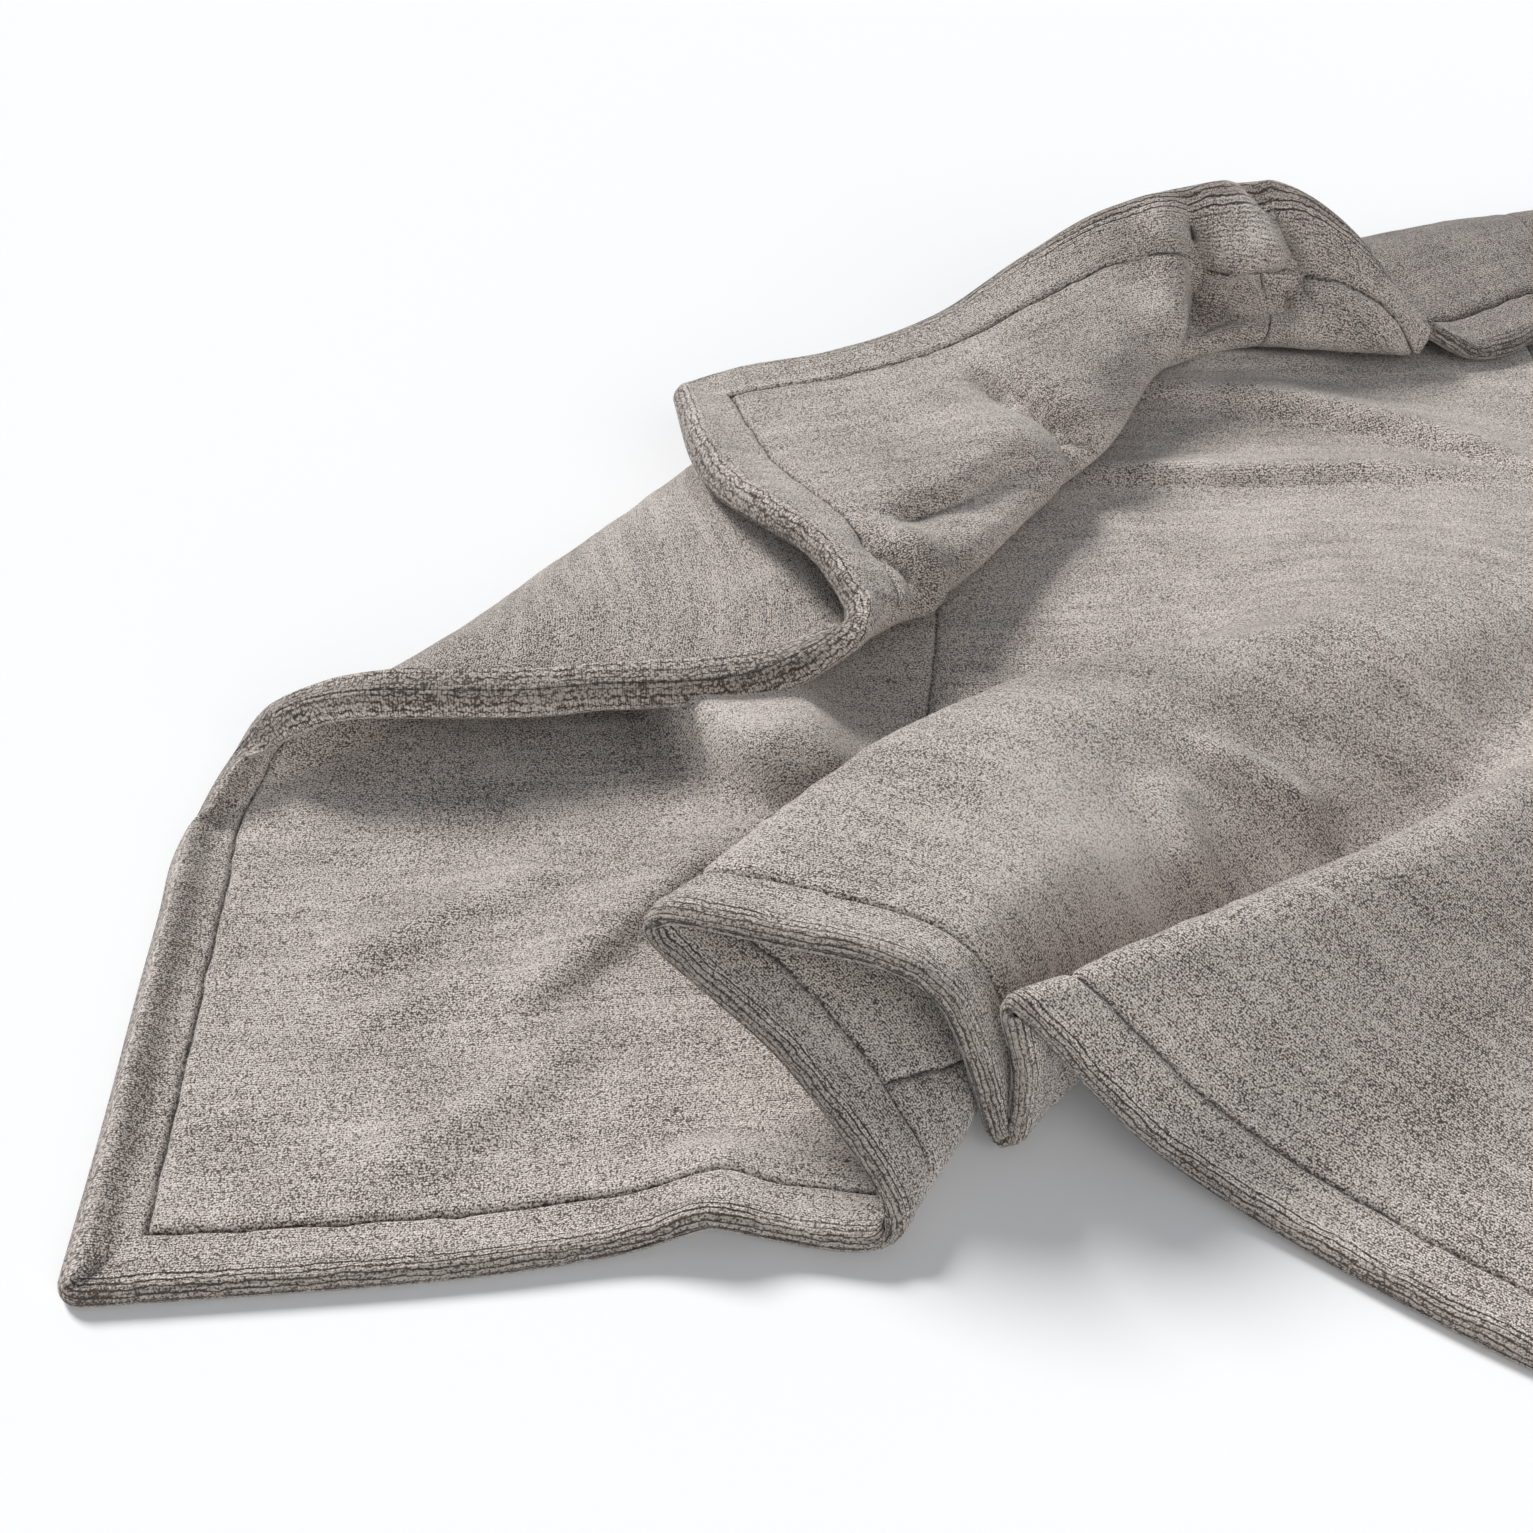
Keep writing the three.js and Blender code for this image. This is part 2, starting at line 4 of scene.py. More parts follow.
import bmesh
import bpy
import numpy as np
from mathutils import Matrix, Vector


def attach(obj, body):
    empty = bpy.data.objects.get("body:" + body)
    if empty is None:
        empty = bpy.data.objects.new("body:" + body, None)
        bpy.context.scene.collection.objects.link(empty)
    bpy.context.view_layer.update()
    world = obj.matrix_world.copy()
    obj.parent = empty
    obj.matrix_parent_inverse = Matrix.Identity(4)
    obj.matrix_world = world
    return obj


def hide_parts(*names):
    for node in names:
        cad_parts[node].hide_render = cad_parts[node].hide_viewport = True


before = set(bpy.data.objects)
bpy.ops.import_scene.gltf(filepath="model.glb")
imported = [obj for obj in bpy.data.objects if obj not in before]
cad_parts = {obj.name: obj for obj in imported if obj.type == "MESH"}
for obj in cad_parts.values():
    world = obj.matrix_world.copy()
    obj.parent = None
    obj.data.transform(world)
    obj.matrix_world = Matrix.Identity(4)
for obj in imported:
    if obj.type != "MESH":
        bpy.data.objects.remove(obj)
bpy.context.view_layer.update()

print("stage: frame loaded")

# The towel lies face up with its near left corner at cornerPlace. Its far left corner is folded over and
# back. All of the cloth is worked out from its flat cut: u runs along the length, v across the width.
towel = {
    "length": 0.900,
    "width": 0.700,
    "panelThickness": 0.0030,
    "panelGap": 0.0004,
    "restCut": 0.0005,
    "cornerPlace": (-0.4490, -0.3004),
}
clothLength, clothWidth = towel["length"], towel["width"]
restHeight = towel["panelThickness"] + towel["panelGap"] / 2 - towel["restCut"]

# The camera stands in front of the towel and looks down on it, at the angle at which both of the corners
# that show come out square.
viewpoint = {
    "fromCorner": (0.212, -0.371),
    "height": 0.5377,
    "pitch": 41,
    "halfFrameShare": 0.36,
}


def linked(name, data):
    thing = bpy.data.objects.new(name, data)
    bpy.context.scene.collection.objects.link(thing)
    return thing


def makeCamera():
    data = bpy.data.cameras.new("camera")
    data.sensor_fit = "HORIZONTAL"
    data.angle = 2 * math.atan(viewpoint["halfFrameShare"])
    data.clip_start = 0.01
    data.clip_end = 50
    camera = linked("camera", data)
    x, y = (corner + step for corner, step in zip(towel["cornerPlace"], viewpoint["fromCorner"]))
    camera.location = (x, y, viewpoint["height"])
    camera.rotation_euler = (math.radians(90 - viewpoint["pitch"]), 0, 0)
    bpy.context.scene.camera = camera


makeCamera()
print("stage: camera")

# The towel before its far corner is folded over. One row is one thread line along the length, near edge
# first: the share of the width where it was cut, the share of its length that small wrinkles take up,
# and points (x, y, height) that it passes, as shares of the cut width: left edge, near panel, three
# turns of the pleat, small pleat, right end.
rowShares = [
    (0, 0, [
        (0, 0, 0), (0.169, 0.015, 0), (0.286, 0.032, 0.004), (0.357, 0.028, 0.009), (0.314, 0.093, 0.043),
        (0.246, 0.143, 0.085), (0.306, 0.121, 0.097), (0.374, 0.105, 0.083), (0.408, 0.081, 0.003),
        (0.413, 0.094, 0.041), (0.405, 0.1, 0.08), (0.478, 0.069, 0.014), (0.614, -0.026, 0),
        (0.857, -0.164, 0),
    ]),
    (0.086, 0.01, [
        (-0.001, 0.086, 0), (0.173, 0.097, 0), (0.293, 0.111, 0), (0.397, 0.1, 0.012), (0.378, 0.145, 0.047),
        (0.31, 0.214, 0.089), (0.361, 0.204, 0.087), (0.425, 0.178, 0.07), (0.458, 0.138, 0.004),
        (0.475, 0.14, 0.045), (0.485, 0.141, 0.082), (0.566, 0.105, 0.03), (0.668, 0.043, 0),
        (0.901, -0.09, 0),
    ]),
    (0.2, 0.04, [
        (-0.004, 0.2, 0), (0.174, 0.211, 0), (0.307, 0.217, 0), (0.424, 0.201, 0.01), (0.422, 0.235, 0.045),
        (0.373, 0.278, 0.082), (0.427, 0.278, 0.088), (0.496, 0.243, 0.049), (0.543, 0.2, 0.008),
        (0.565, 0.194, 0.042), (0.586, 0.196, 0.078), (0.663, 0.162, 0.03), (0.738, 0.129, 0.001),
        (0.96, 0.009, 0),
    ]),
    (0.336, 0.08, [
        (-0.006, 0.336, 0), (0.174, 0.34, 0), (0.314, 0.343, 0.001), (0.468, 0.337, 0.004),
        (0.472, 0.345, 0.037), (0.479, 0.354, 0.068), (0.536, 0.345, 0.062), (0.61, 0.316, 0.032),
        (0.652, 0.286, 0.014), (0.676, 0.275, 0.042), (0.704, 0.273, 0.07), (0.76, 0.246, 0.029),
        (0.824, 0.214, 0.004), (1.05, 0.086, 0),
    ]),
    (0.457, 0.045, [
        (-0.007, 0.457, 0), (0.171, 0.46, 0), (0.321, 0.46, 0), (0.536, 0.451, 0.016), (0.6, 0.443, 0.039),
        (0.65, 0.42, 0.054), (0.674, 0.401, 0.05), (0.7, 0.38, 0.031), (0.72, 0.366, 0.021),
        (0.752, 0.343, 0.041), (0.792, 0.315, 0.06), (0.851, 0.284, 0.03), (0.92, 0.25, 0.004),
        (1.143, 0.143, 0),
    ]),
    (0.629, 0.03, [
        (-0.01, 0.629, 0), (0.169, 0.629, 0), (0.336, 0.629, 0), (0.571, 0.633, 0.001), (0.714, 0.62, 0.01),
        (0.814, 0.579, 0.027), (0.843, 0.561, 0.026), (0.867, 0.547, 0.019), (0.886, 0.536, 0.014),
        (0.914, 0.517, 0.023), (0.954, 0.493, 0.036), (1.017, 0.464, 0.016), (1.093, 0.429, 0.001),
        (1.321, 0.314, 0),
    ]),
    (0.857, 0, [
        (-0.014, 0.857, 0), (0.164, 0.857, 0), (0.336, 0.86, 0), (0.5, 0.869, 0), (0.643, 0.889, 0),
        (0.771, 0.921, 0), (0.836, 0.936, 0), (0.886, 0.943, 0), (0.921, 0.946, 0), (0.957, 0.947, 0),
        (1, 0.946, 0), (1.071, 0.94, 0), (1.157, 0.926, 0), (1.4, 0.857, 0),
    ]),
    (1, 0, [
        (-0.017, 1, 0), (0.157, 1, 0), (0.336, 1.003, 0), (0.5, 1.011, 0), (0.643, 1.031, 0),
        (0.771, 1.064, 0), (0.836, 1.079, 0), (0.886, 1.086, 0), (0.921, 1.089, 0), (0.957, 1.09, 0),
        (1, 1.089, 0), (1.071, 1.083, 0), (1.157, 1.069, 0), (1.4, 1, 0),
    ]),
]

# The fold that turns the far corner over: (place along the length, place across the width where the
# cloth turns, x, y, height of the turn), as shares of the cut width.
turnoverShares = [
    (0, 0.337, 0.017, 0.333, 0.024), (0.043, 0.369, 0.053, 0.363, 0.023), (0.086, 0.41, 0.096, 0.401, 0.02),
    (0.171, 0.521, 0.181, 0.514, 0.017), (0.286, 0.673, 0.296, 0.663, 0.017),
    (0.386, 0.757, 0.394, 0.754, 0.016), (0.471, 0.8, 0.474, 0.809, 0.016),
    (0.571, 0.821, 0.571, 0.846, 0.016), (0.657, 0.836, 0.657, 0.874, 0.017),
    (0.743, 0.846, 0.74, 0.909, 0.019), (0.874, 0.857, 0.869, 0.949, 0.019),
    (1.071, 0.866, 1.076, 0.96, 0.019), (1.286, 0.866, 1.286, 0.914, 0.019),
]

# The fold that brings the corner back again, in the same form. It runs out into the far edge.
returnShares = [
    (0, 0.714, 0.352, 0.416, 0.047), (0.086, 0.764, 0.417, 0.479, 0.041), (0.171, 0.821, 0.471, 0.56, 0.036),
    (0.257, 0.871, 0.531, 0.65, 0.033), (0.321, 0.914, 0.573, 0.746, 0.031),
    (0.386, 0.929, 0.623, 0.771, 0.03), (0.471, 0.936, 0.671, 0.759, 0.029),
    (0.571, 0.95, 0.727, 0.753, 0.026), (0.65, 0.994, 0.767, 0.754, 0.023),
    (0.743, 0.997, 0.81, 0.761, 0.021), (0.874, 0.997, 0.893, 0.8, 0.021),
    (1.071, 0.997, 1.086, 0.843, 0.021), (1.286, 0.997, 1.279, 0.814, 0.021),
]

# How far the hidden layer of the corner swings away behind the pinch, at its middle and at its last knot
# before the return fold: (place along the length, middle x, y, last knot x, y), as shares of the width.
pinchShares = [
    (0, 0, 0, 0, 0), (0.386, 0, 0, 0, 0), (0.471, 0, 0.02, 0.01, 0.034), (0.571, 0, 0.03, 0.01, 0.05),
    (0.657, 0, 0.02, 0.01, 0.03), (0.714, 0, 0, 0, 0), (1.286, 0, 0, 0, 0),
]

# Where the far edge ends up: (place along the length, x, y, height), as shares of the cut width.
farEdgeShares = [
    (0, 0.241, 0.663, 0.047), (0.05, 0.286, 0.684, 0.05), (0.111, 0.344, 0.694, 0.056),
    (0.174, 0.404, 0.719, 0.064), (0.269, 0.477, 0.781, 0.081), (0.326, 0.529, 0.811, 0.099),
    (0.374, 0.579, 0.817, 0.113), (0.429, 0.626, 0.83, 0.116), (0.493, 0.671, 0.821, 0.107),
    (0.55, 0.71, 0.8, 0.081), (0.6, 0.737, 0.771, 0.047), (0.65, 0.767, 0.759, 0.032),
    (0.7, 0.789, 0.751, 0.022), (0.743, 0.811, 0.757, 0.021), (0.8, 0.843, 0.78, 0.021),
    (0.874, 0.893, 0.796, 0.021), (1.071, 1.086, 0.839, 0.021), (1.286, 1.279, 0.81, 0.021),
]

# How far the left edge swings off the straight line between its folds, as shares of the cut width (x, y,
# height), at the four knots beyond the turnover, and the cloth that its wide turn takes up. The swing dies
# out over the given reach.
leftSwing = {
    "reach": 0.1,
    "middle": (0, -0.011, 0.005),
    "under": (-0.008, -0.023, 0.012),
    "over": (-0.006, 0.015, -0.004),
    "flap": (-0.026, 0, 0),
    "run": 0.014,
}

# Lengths of cloth that a soft fold takes up.
folds = {
    "approach": 0.075,
    "run": 0.038,
    "topReach": 0.026,
    "returnRun": 0.020,
    "returnReach": 0.016,
    "returnHalfHeight": 0.011,
    "returnFullWidth": 0.030,
    "narrowFlap": 0.012,
    "mostOfFlap": 0.4,
}


def smoothThrough(places, values, at):
    places = np.asarray(places, float)
    values = np.asarray(values, float)
    at = np.atleast_1d(np.asarray(at, float))
    tail = (-1,) + (1,) * (values.ndim - 1)
    gaps = np.diff(places).reshape(tail)
    slopes = np.diff(values, axis=0) / gaps
    tangents = np.empty_like(values)
    tangents[0] = slopes[0]
    tangents[-1] = slopes[-1]
    tangents[1:-1] = (slopes[:-1] * gaps[1:] + slopes[1:] * gaps[:-1]) / (gaps[:-1] + gaps[1:])
    k = np.clip(np.searchsorted(places, at, side="right") - 1, 0, len(places) - 2)
    span = gaps[k]
    t = (at - places[k]).reshape(tail) / span
    inside = np.clip(t, 0, 1)
    start = 2 * inside**3 - 3 * inside**2 + 1
    leave = (inside**3 - 2 * inside**2 + inside) * span
    arrive = (inside**3 - inside**2) * span
    curve = start * values[k] + leave * tangents[k] + (1 - start) * values[k + 1] + arrive * tangents[k + 1]
    return curve + (t - inside) * span * slopes[k]


def tableAt(table, along):
    places = [entry[0] for entry in table]
    values = [entry[1:] for entry in table]
    return smoothThrough(places, values, along / clothWidth)[0] * clothWidth


# The cloth is worked out on an even net first, one crossing every few millimetres.
net = {"step": 0.0025, "rowSamples": 900, "softening": 1.6, "least": 1e-9}
alongNet = np.linspace(0, clothLength, round(clothLength / net["step"]) + 1)
acrossNet = np.linspace(0, clothWidth, round(clothWidth / net["step"]) + 1)


def spreadRow(across):
    cuts = [row[0] for row in rowShares]
    slack = smoothThrough(cuts, [[row[1]] for row in rowShares], across / clothWidth)[0, 0]
    knots = smoothThrough(cuts, [row[2] for row in rowShares], across / clothWidth)[0] * clothWidth
    pace = np.concatenate([[0], np.cumsum(np.sqrt(np.linalg.norm(np.diff(knots, axis=0), axis=1)))])
    points = smoothThrough(pace, knots, np.linspace(0, pace[-1], net["rowSamples"]))
    steps = np.linalg.norm(np.diff(points, axis=0), axis=1)
    lengths = np.concatenate([[0], np.cumsum(steps)]) / (1 - slack)
    row = np.stack([np.interp(alongNet, lengths, points[:, n]) for n in range(3)], axis=1)
    row[:, 2] = np.maximum(row[:, 2], 0) + restHeight
    return row


def foldedColumn(along, spread):
    def spreadAt(across):
        return np.array([np.interp(across, acrossNet, spread[:, n]) for n in range(3)])

    lift = np.array([0, 0, restHeight])
    turnCut, *turn = tableAt(turnoverShares, along)
    returnCut, *back = tableAt(returnShares, along)
    turnHeight = turn[2]
    turn, back, far = turn + lift, back + lift, tableAt(farEdgeShares, along) + lift
    heading = (back - turn)[:2] / np.linalg.norm((back - turn)[:2])
    fade = max(0, 1 - along / (leftSwing["reach"] * clothWidth)) ** 2 * clothWidth

    def swung(point, knot):
        return point + np.array(leftSwing[knot]) * fade

    overTurn = np.array([*(turn[:2] + heading * folds["topReach"]), restHeight + 2 * turnHeight])
    run = folds["run"]
    cuts = [turnCut - folds["approach"], turnCut - run, turnCut, turnCut + run]
    points = [spreadAt(cuts[0]), spreadAt(cuts[1]), turn, overTurn]
    flapWidth = clothWidth - returnCut
    if flapWidth > folds["narrowFlap"]:
        half = folds["returnHalfHeight"] * min(1, flapWidth / folds["returnFullWidth"])
        under = np.array([*(back[:2] - heading * folds["returnReach"]), back[2] - half])
        wideRun = folds["returnRun"] + leftSwing["run"] * fade
        returnRun = min(wideRun, flapWidth * folds["mostOfFlap"])
        reach = np.linalg.norm(far - back)
        rise = np.linalg.norm((far - back)[:2])
        step = min(folds["returnReach"], rise * folds["mostOfFlap"]) / rise
        climb = (far[2] - back[2] - half) * min(1, folds["returnReach"] / reach)
        over = np.array([*(back[:2] + (far - back)[:2] * step), back[2] + half + climb])
        pinch = tableAt(pinchShares, along)
        middle = (overTurn + under) / 2 + (*pinch[:2], 0)
        last = under + (*pinch[2:], 0)
        cuts += [(turnCut + run + returnCut - wideRun) / 2, returnCut - wideRun, returnCut]
        cuts += [returnCut + returnRun, (returnCut + returnRun + clothWidth) / 2, clothWidth]
        points += [swung(middle, "middle"), swung(last, "under"), back]
        points += [swung(over, "over"), swung((over + far) / 2, "flap"), far]
    else:
        cuts += [(turnCut + run + clothWidth) / 2, clothWidth]
        points += [(overTurn + far) / 2, far]
    folded = smoothThrough(cuts, points, acrossNet)
    column = np.where((acrossNet <= cuts[0])[:, None], spread, folded)
    column[:, 2] = np.maximum(column[:, 2], restHeight)
    return column


def unit(vectors):
    return vectors / np.maximum(np.linalg.norm(vectors, axis=-1, keepdims=True), net["least"])


def crossingsOf(lines):
    alongStep = np.gradient(lines, net["step"], axis=0)
    acrossStep = np.gradient(lines, net["step"], axis=1)
    return unit(np.cross(alongStep, acrossStep))


# The hem along the left edge is a soft roll. Each row: place across the width, how far the hem sinks, how
# far it moves outward, how much it turns towards the back of the cloth (radians), and how much thicker the
# roll is on the face and on the back. Lengths in metres.
hem = {
    "inset": 0.0225,
    "reach": 0.065,
    "leastTurn": 0.001,
    "crestPlace": 0.0075,
    "crestReach": 0.0048,
    "roundShare": 0.75,
}
hemRows = [
    (0, 0, 0, 0, 0.0024, 0.0006), (0.05, 0, 0, 0, 0.004, 0.0006), (0.15, 0, 0, 0, 0.0046, 0.0006),
    (0.2, 0.001, 0, 0.05, 0.0048, 0.0012), (0.245, 0.003, 0.001, 0.35, 0.0048, 0.0034),
    (0.29, 0.006, 0.005, 0.7, 0.005, 0.0052), (0.4, 0.006, 0.006, 0.8, 0.005, 0.0055),
    (0.47, 0.003, 0.003, 0.6, 0.005, 0.0055), (0.52, 0, 0, 0.4, 0.005, 0.005),
    (0.58, 0, 0, 0.3, 0.0045, 0.0045), (0.65, 0, 0, 0.15, 0.004, 0.003), (0.7, 0, 0, 0, 0.002, 0.001),
]


def hemAt(across, column):
    places = [row[0] for row in hemRows]
    values = [[row[column]] for row in hemRows]
    return smoothThrough(places, values, np.ravel(across))[:, 0].reshape(np.shape(across))


def turnedHem(surface):
    base = round(hem["inset"] / net["step"])
    outward = unit(surface[base] - surface[base + 1])
    facing = crossingsOf(surface)[base]
    level = outward * (1, 1, 0)
    sink, shift, turn = (hemAt(acrossNet, column) for column in (1, 2, 3))
    turn = np.maximum(turn, hem["leastTurn"])
    surface = surface.copy()
    for i in range(round(hem["reach"] / net["step"])):
        left = min(1, max(0, (hem["reach"] - alongNet[i]) / (hem["reach"] - hem["inset"])))
        weight = left**2 * (3 - 2 * left)
        surface[i] += weight * (level * shift[:, None] - sink[:, None] * (0, 0, 1))
        beyond = max(0, hem["inset"] - alongNet[i])
        angle = turn * beyond / hem["inset"]
        radius = hem["inset"] / turn
        surface[i] += outward * (radius * np.sin(angle) - beyond)[:, None]
        surface[i] -= facing * (radius * (1 - np.cos(angle)))[:, None]
    return surface


def softened(surface, sigma):
    reach = int(3 * sigma + 0.5)
    weights = np.exp(-0.5 * (np.arange(-reach, reach + 1) / sigma) ** 2)
    weights /= weights.sum()
    for axis in (0, 1):
        lines = np.moveaxis(surface, axis, 0)
        before = 2 * lines[0] - lines[reach:0:-1]
        after = 2 * lines[-1] - lines[-2 : -reach - 2 : -1]
        padded = np.concatenate([before, lines, after])
        count = len(lines)
        lines = sum(weight * padded[n : n + count] for n, weight in enumerate(weights))
        surface = np.moveaxis(lines, 0, axis)
    return surface


def drapedNet():
    spread = np.stack([spreadRow(across) for across in acrossNet], axis=1)
    draped = np.stack([foldedColumn(along, spread[i]) for i, along in enumerate(alongNet)])
    return softened(turnedHem(draped), net["softening"])


middleNet = drapedNet()


# Soft wrinkles in the cloth, apart from its folds: a line of flat places (u, v) in metres, how far the
# wrinkle reaches to its left and to its right, how high it stands (or how deep it lies), and how far its
# crest leans over to the right. Its slope falls away on both sides by wrinkleShape.
wrinkleShape = {"widths": 1.5, "sharpness": 1.55, "endShare": 0.02, "endRise": 1.6, "softening": 0.6}
wrinkles = [
    ([(0.058, 0.126), (0.105, 0.152), (0.158, 0.18)], 0.012, 0.01, 0.006, 0.002),
    ([(0.068, 0.098), (0.105, 0.117), (0.13, 0.128)], 0.009, 0.008, 0.0036, 0.001),
    ([(0.085, 0.036), (0.13, 0.07), (0.165, 0.102)], 0.014, 0.011, 0.0062, 0.002),
    ([(0.115, 0.095), (0.152, 0.128), (0.18, 0.158), (0.226, 0.204)], 0.013, 0.008, 0.0078, 0.003),
    ([(0.192, -0.012), (0.198, 0.014), (0.2, 0.045)], 0.014, 0.014, 0.007, 0),
    (
        [(0.158, 0.35), (0.176, 0.295), (0.201, 0.256), (0.228, 0.226), (0.254, 0.196)],
        0.036, 0.005, 0.022, 0.002,
    ),
    ([(0.236, 0.296), (0.246, 0.262), (0.256, 0.232), (0.272, 0.205)], 0.012, 0.026, 0.01, 0),
    ([(-0.006, 0.158), (0.009, 0.16), (0.021, 0.163)], 0.004, 0.004, -0.005, 0),
    ([(-0.006, 0.176), (0.009, 0.179), (0.021, 0.183)], 0.004, 0.004, -0.005, 0),
    ([(-0.006, 0.2), (0.008, 0.2), (0.022, 0.204)], 0.006, 0.006, -0.003, 0),
    (
        [(0.38, 0.518), (0.465, 0.496), (0.507, 0.481), (0.545, 0.463), (0.6, 0.432)],
        0.016, 0.006, 0.0105, 0.004,
    ),
    ([(0.36, 0.441), (0.43, 0.436), (0.476, 0.435), (0.58, 0.438)], 0.014, 0.006, 0.009, 0.004),
    ([(0.42, 0.536), (0.46, 0.529), (0.51, 0.524)], 0.012, 0.009, 0.0055, 0.001),
    ([(0.484, 0.186), (0.515, 0.195), (0.542, 0.199)], 0.007, 0.007, 0.006, 0),
    ([(0.492, 0.16), (0.515, 0.146), (0.54, 0.135)], 0.009, 0.008, 0.005, 0),
    ([(0.12, 0.664), (0.138, 0.63), (0.148, 0.606), (0.158, 0.576)], 0.006, 0.012, -0.016, -0.004),
    ([(0.03, 0.556), (0.082, 0.571), (0.128, 0.594)], 0.007, 0.011, -0.011, -0.003),
    ([(0.018, 0.554), (0.03, 0.534), (0.04, 0.508)], 0.005, 0.007, -0.0085, 0),
    ([(0.042, 0.554), (0.04, 0.53), (0.052, 0.504)], 0.005, 0.005, 0.005, 0),
    ([(0.252, 0.7), (0.246, 0.676), (0.231, 0.656), (0.206, 0.63)], 0.007, 0.007, 0.013, 0),
    ([(0.268, 0.7), (0.262, 0.678), (0.252, 0.658), (0.234, 0.638)], 0.005, 0.005, -0.013, 0),
    ([(0.256, 0.676), (0.282, 0.681), (0.304, 0.684), (0.322, 0.686)], 0.011, 0.006, 0.017, 0.013),
    ([(0.246, 0.642), (0.275, 0.658), (0.305, 0.666), (0.334, 0.676)], 0.005, 0.008, -0.013, 0.002),
    ([(0.284, 0.706), (0.31, 0.693), (0.329, 0.683), (0.34, 0.668)], 0.0045, 0.0045, -0.012, 0),
]


def wrinklePush(along, across):
    height = np.zeros_like(along)
    pushU = np.zeros_like(along)
    pushV = np.zeros_like(along)
    for line, leftReach, rightReach, top, lean in wrinkles:
        nearest = np.full_like(along, np.inf)
        share, reach, turnU, turnV = (np.zeros_like(along) for _ in range(4))
        count = len(line) - 1
        for n in range(count):
            (startU, startV), (endU, endV) = line[n], line[n + 1]
            stepU, stepV = endU - startU, endV - startV
            t = ((along - startU) * stepU + (across - startV) * stepV) / (stepU**2 + stepV**2)
            t = np.clip(t, 0, 1)
            gap = np.hypot(along - startU - t * stepU, across - startV - t * stepV)
            onLeft = stepU * (across - startV) - stepV * (along - startU) > 0
            closer = gap < nearest
            nearest = np.where(closer, gap, nearest)
            share = np.where(closer, (n + t) / count, share)
            reach = np.where(closer, np.where(onLeft, leftReach, rightReach), reach)
            length = math.hypot(stepU, stepV)
            turnU = np.where(closer, stepV / length, turnU)
            turnV = np.where(closer, -stepU / length, turnV)
        middle = np.clip(share, wrinkleShape["endShare"], 1 - wrinkleShape["endShare"])
        ends = np.clip(np.sin(math.pi * middle) * wrinkleShape["endRise"], 0, 1)
        away = nearest / (reach / wrinkleShape["widths"])
        swell = ends * np.exp(-0.5 * away ** wrinkleShape["sharpness"])
        height += top * swell
        pushU += lean * turnU * swell
        pushV += lean * turnV * swell
    return height, pushU, pushV


def wrinkled(surface):
    flatAlong, flatAcross = np.meshgrid(alongNet, acrossNet, indexing="ij")
    height, pushU, pushV = wrinklePush(flatAlong, flatAcross)
    pushed = surface + crossingsOf(surface) * height[..., None]
    pushed += unit(np.gradient(surface, axis=0)) * pushU[..., None]
    pushed += unit(np.gradient(surface, axis=1)) * pushV[..., None]
    pushed[..., 2] = np.maximum(pushed[..., 2], restHeight)
    return softened(pushed, wrinkleShape["softening"])


middleNet = wrinkled(middleNet)
facingNet = crossingsOf(middleNet)
print("stage: cloth draped")


def fromNet(values, along, across):
    def corners(place, count):
        place = np.clip(place / net["step"], 0, count - 1)
        low = np.minimum(place.astype(int), count - 2)
        t = place - low
        weights = [
            -0.5 * t**3 + t**2 - 0.5 * t,
            1.5 * t**3 - 2.5 * t**2 + 1,
            -1.5 * t**3 + 2 * t**2 + 0.5 * t,
            0.5 * t**3 - 0.5 * t**2,
        ]
        return low, weights

    padded = np.pad(values, ((1, 1), (1, 1), (0, 0)), mode="reflect", reflect_type="odd")
    lowU, weightsU = corners(along, values.shape[0])
    lowV, weightsV = corners(across, values.shape[1])
    result = 0
    for a in range(4):
        for b in range(4):
            weight = weightsU[a] * weightsV[b]
            result = result + weight[..., None] * padded[lowU + a, lowV + b]
    return result


# Smooth unevenness, from a lattice of random heights.
unevenGround = {"lattice": 512, "shift": (7.3, 3.1)}


def smoothNoise(along, across, size, seed):
    count = unevenGround["lattice"]
    lattice = np.random.default_rng(seed).random((count, count)) * 2 - 1
    x = along / size + unevenGround["shift"][0]
    y = across / size + unevenGround["shift"][1]
    column = np.floor(x).astype(int)
    row = np.floor(y).astype(int)
    tx = x - column
    ty = y - row
    tx = tx * tx * (3 - 2 * tx)
    ty = ty * ty * (3 - 2 * ty)

    def at(i, j):
        return lattice[(column + i) % count, (row + j) % count]

    near = at(0, 0) * (1 - tx) + at(1, 0) * tx
    far = at(0, 1) * (1 - tx) + at(1, 1) * tx
    return near * (1 - ty) + far * ty


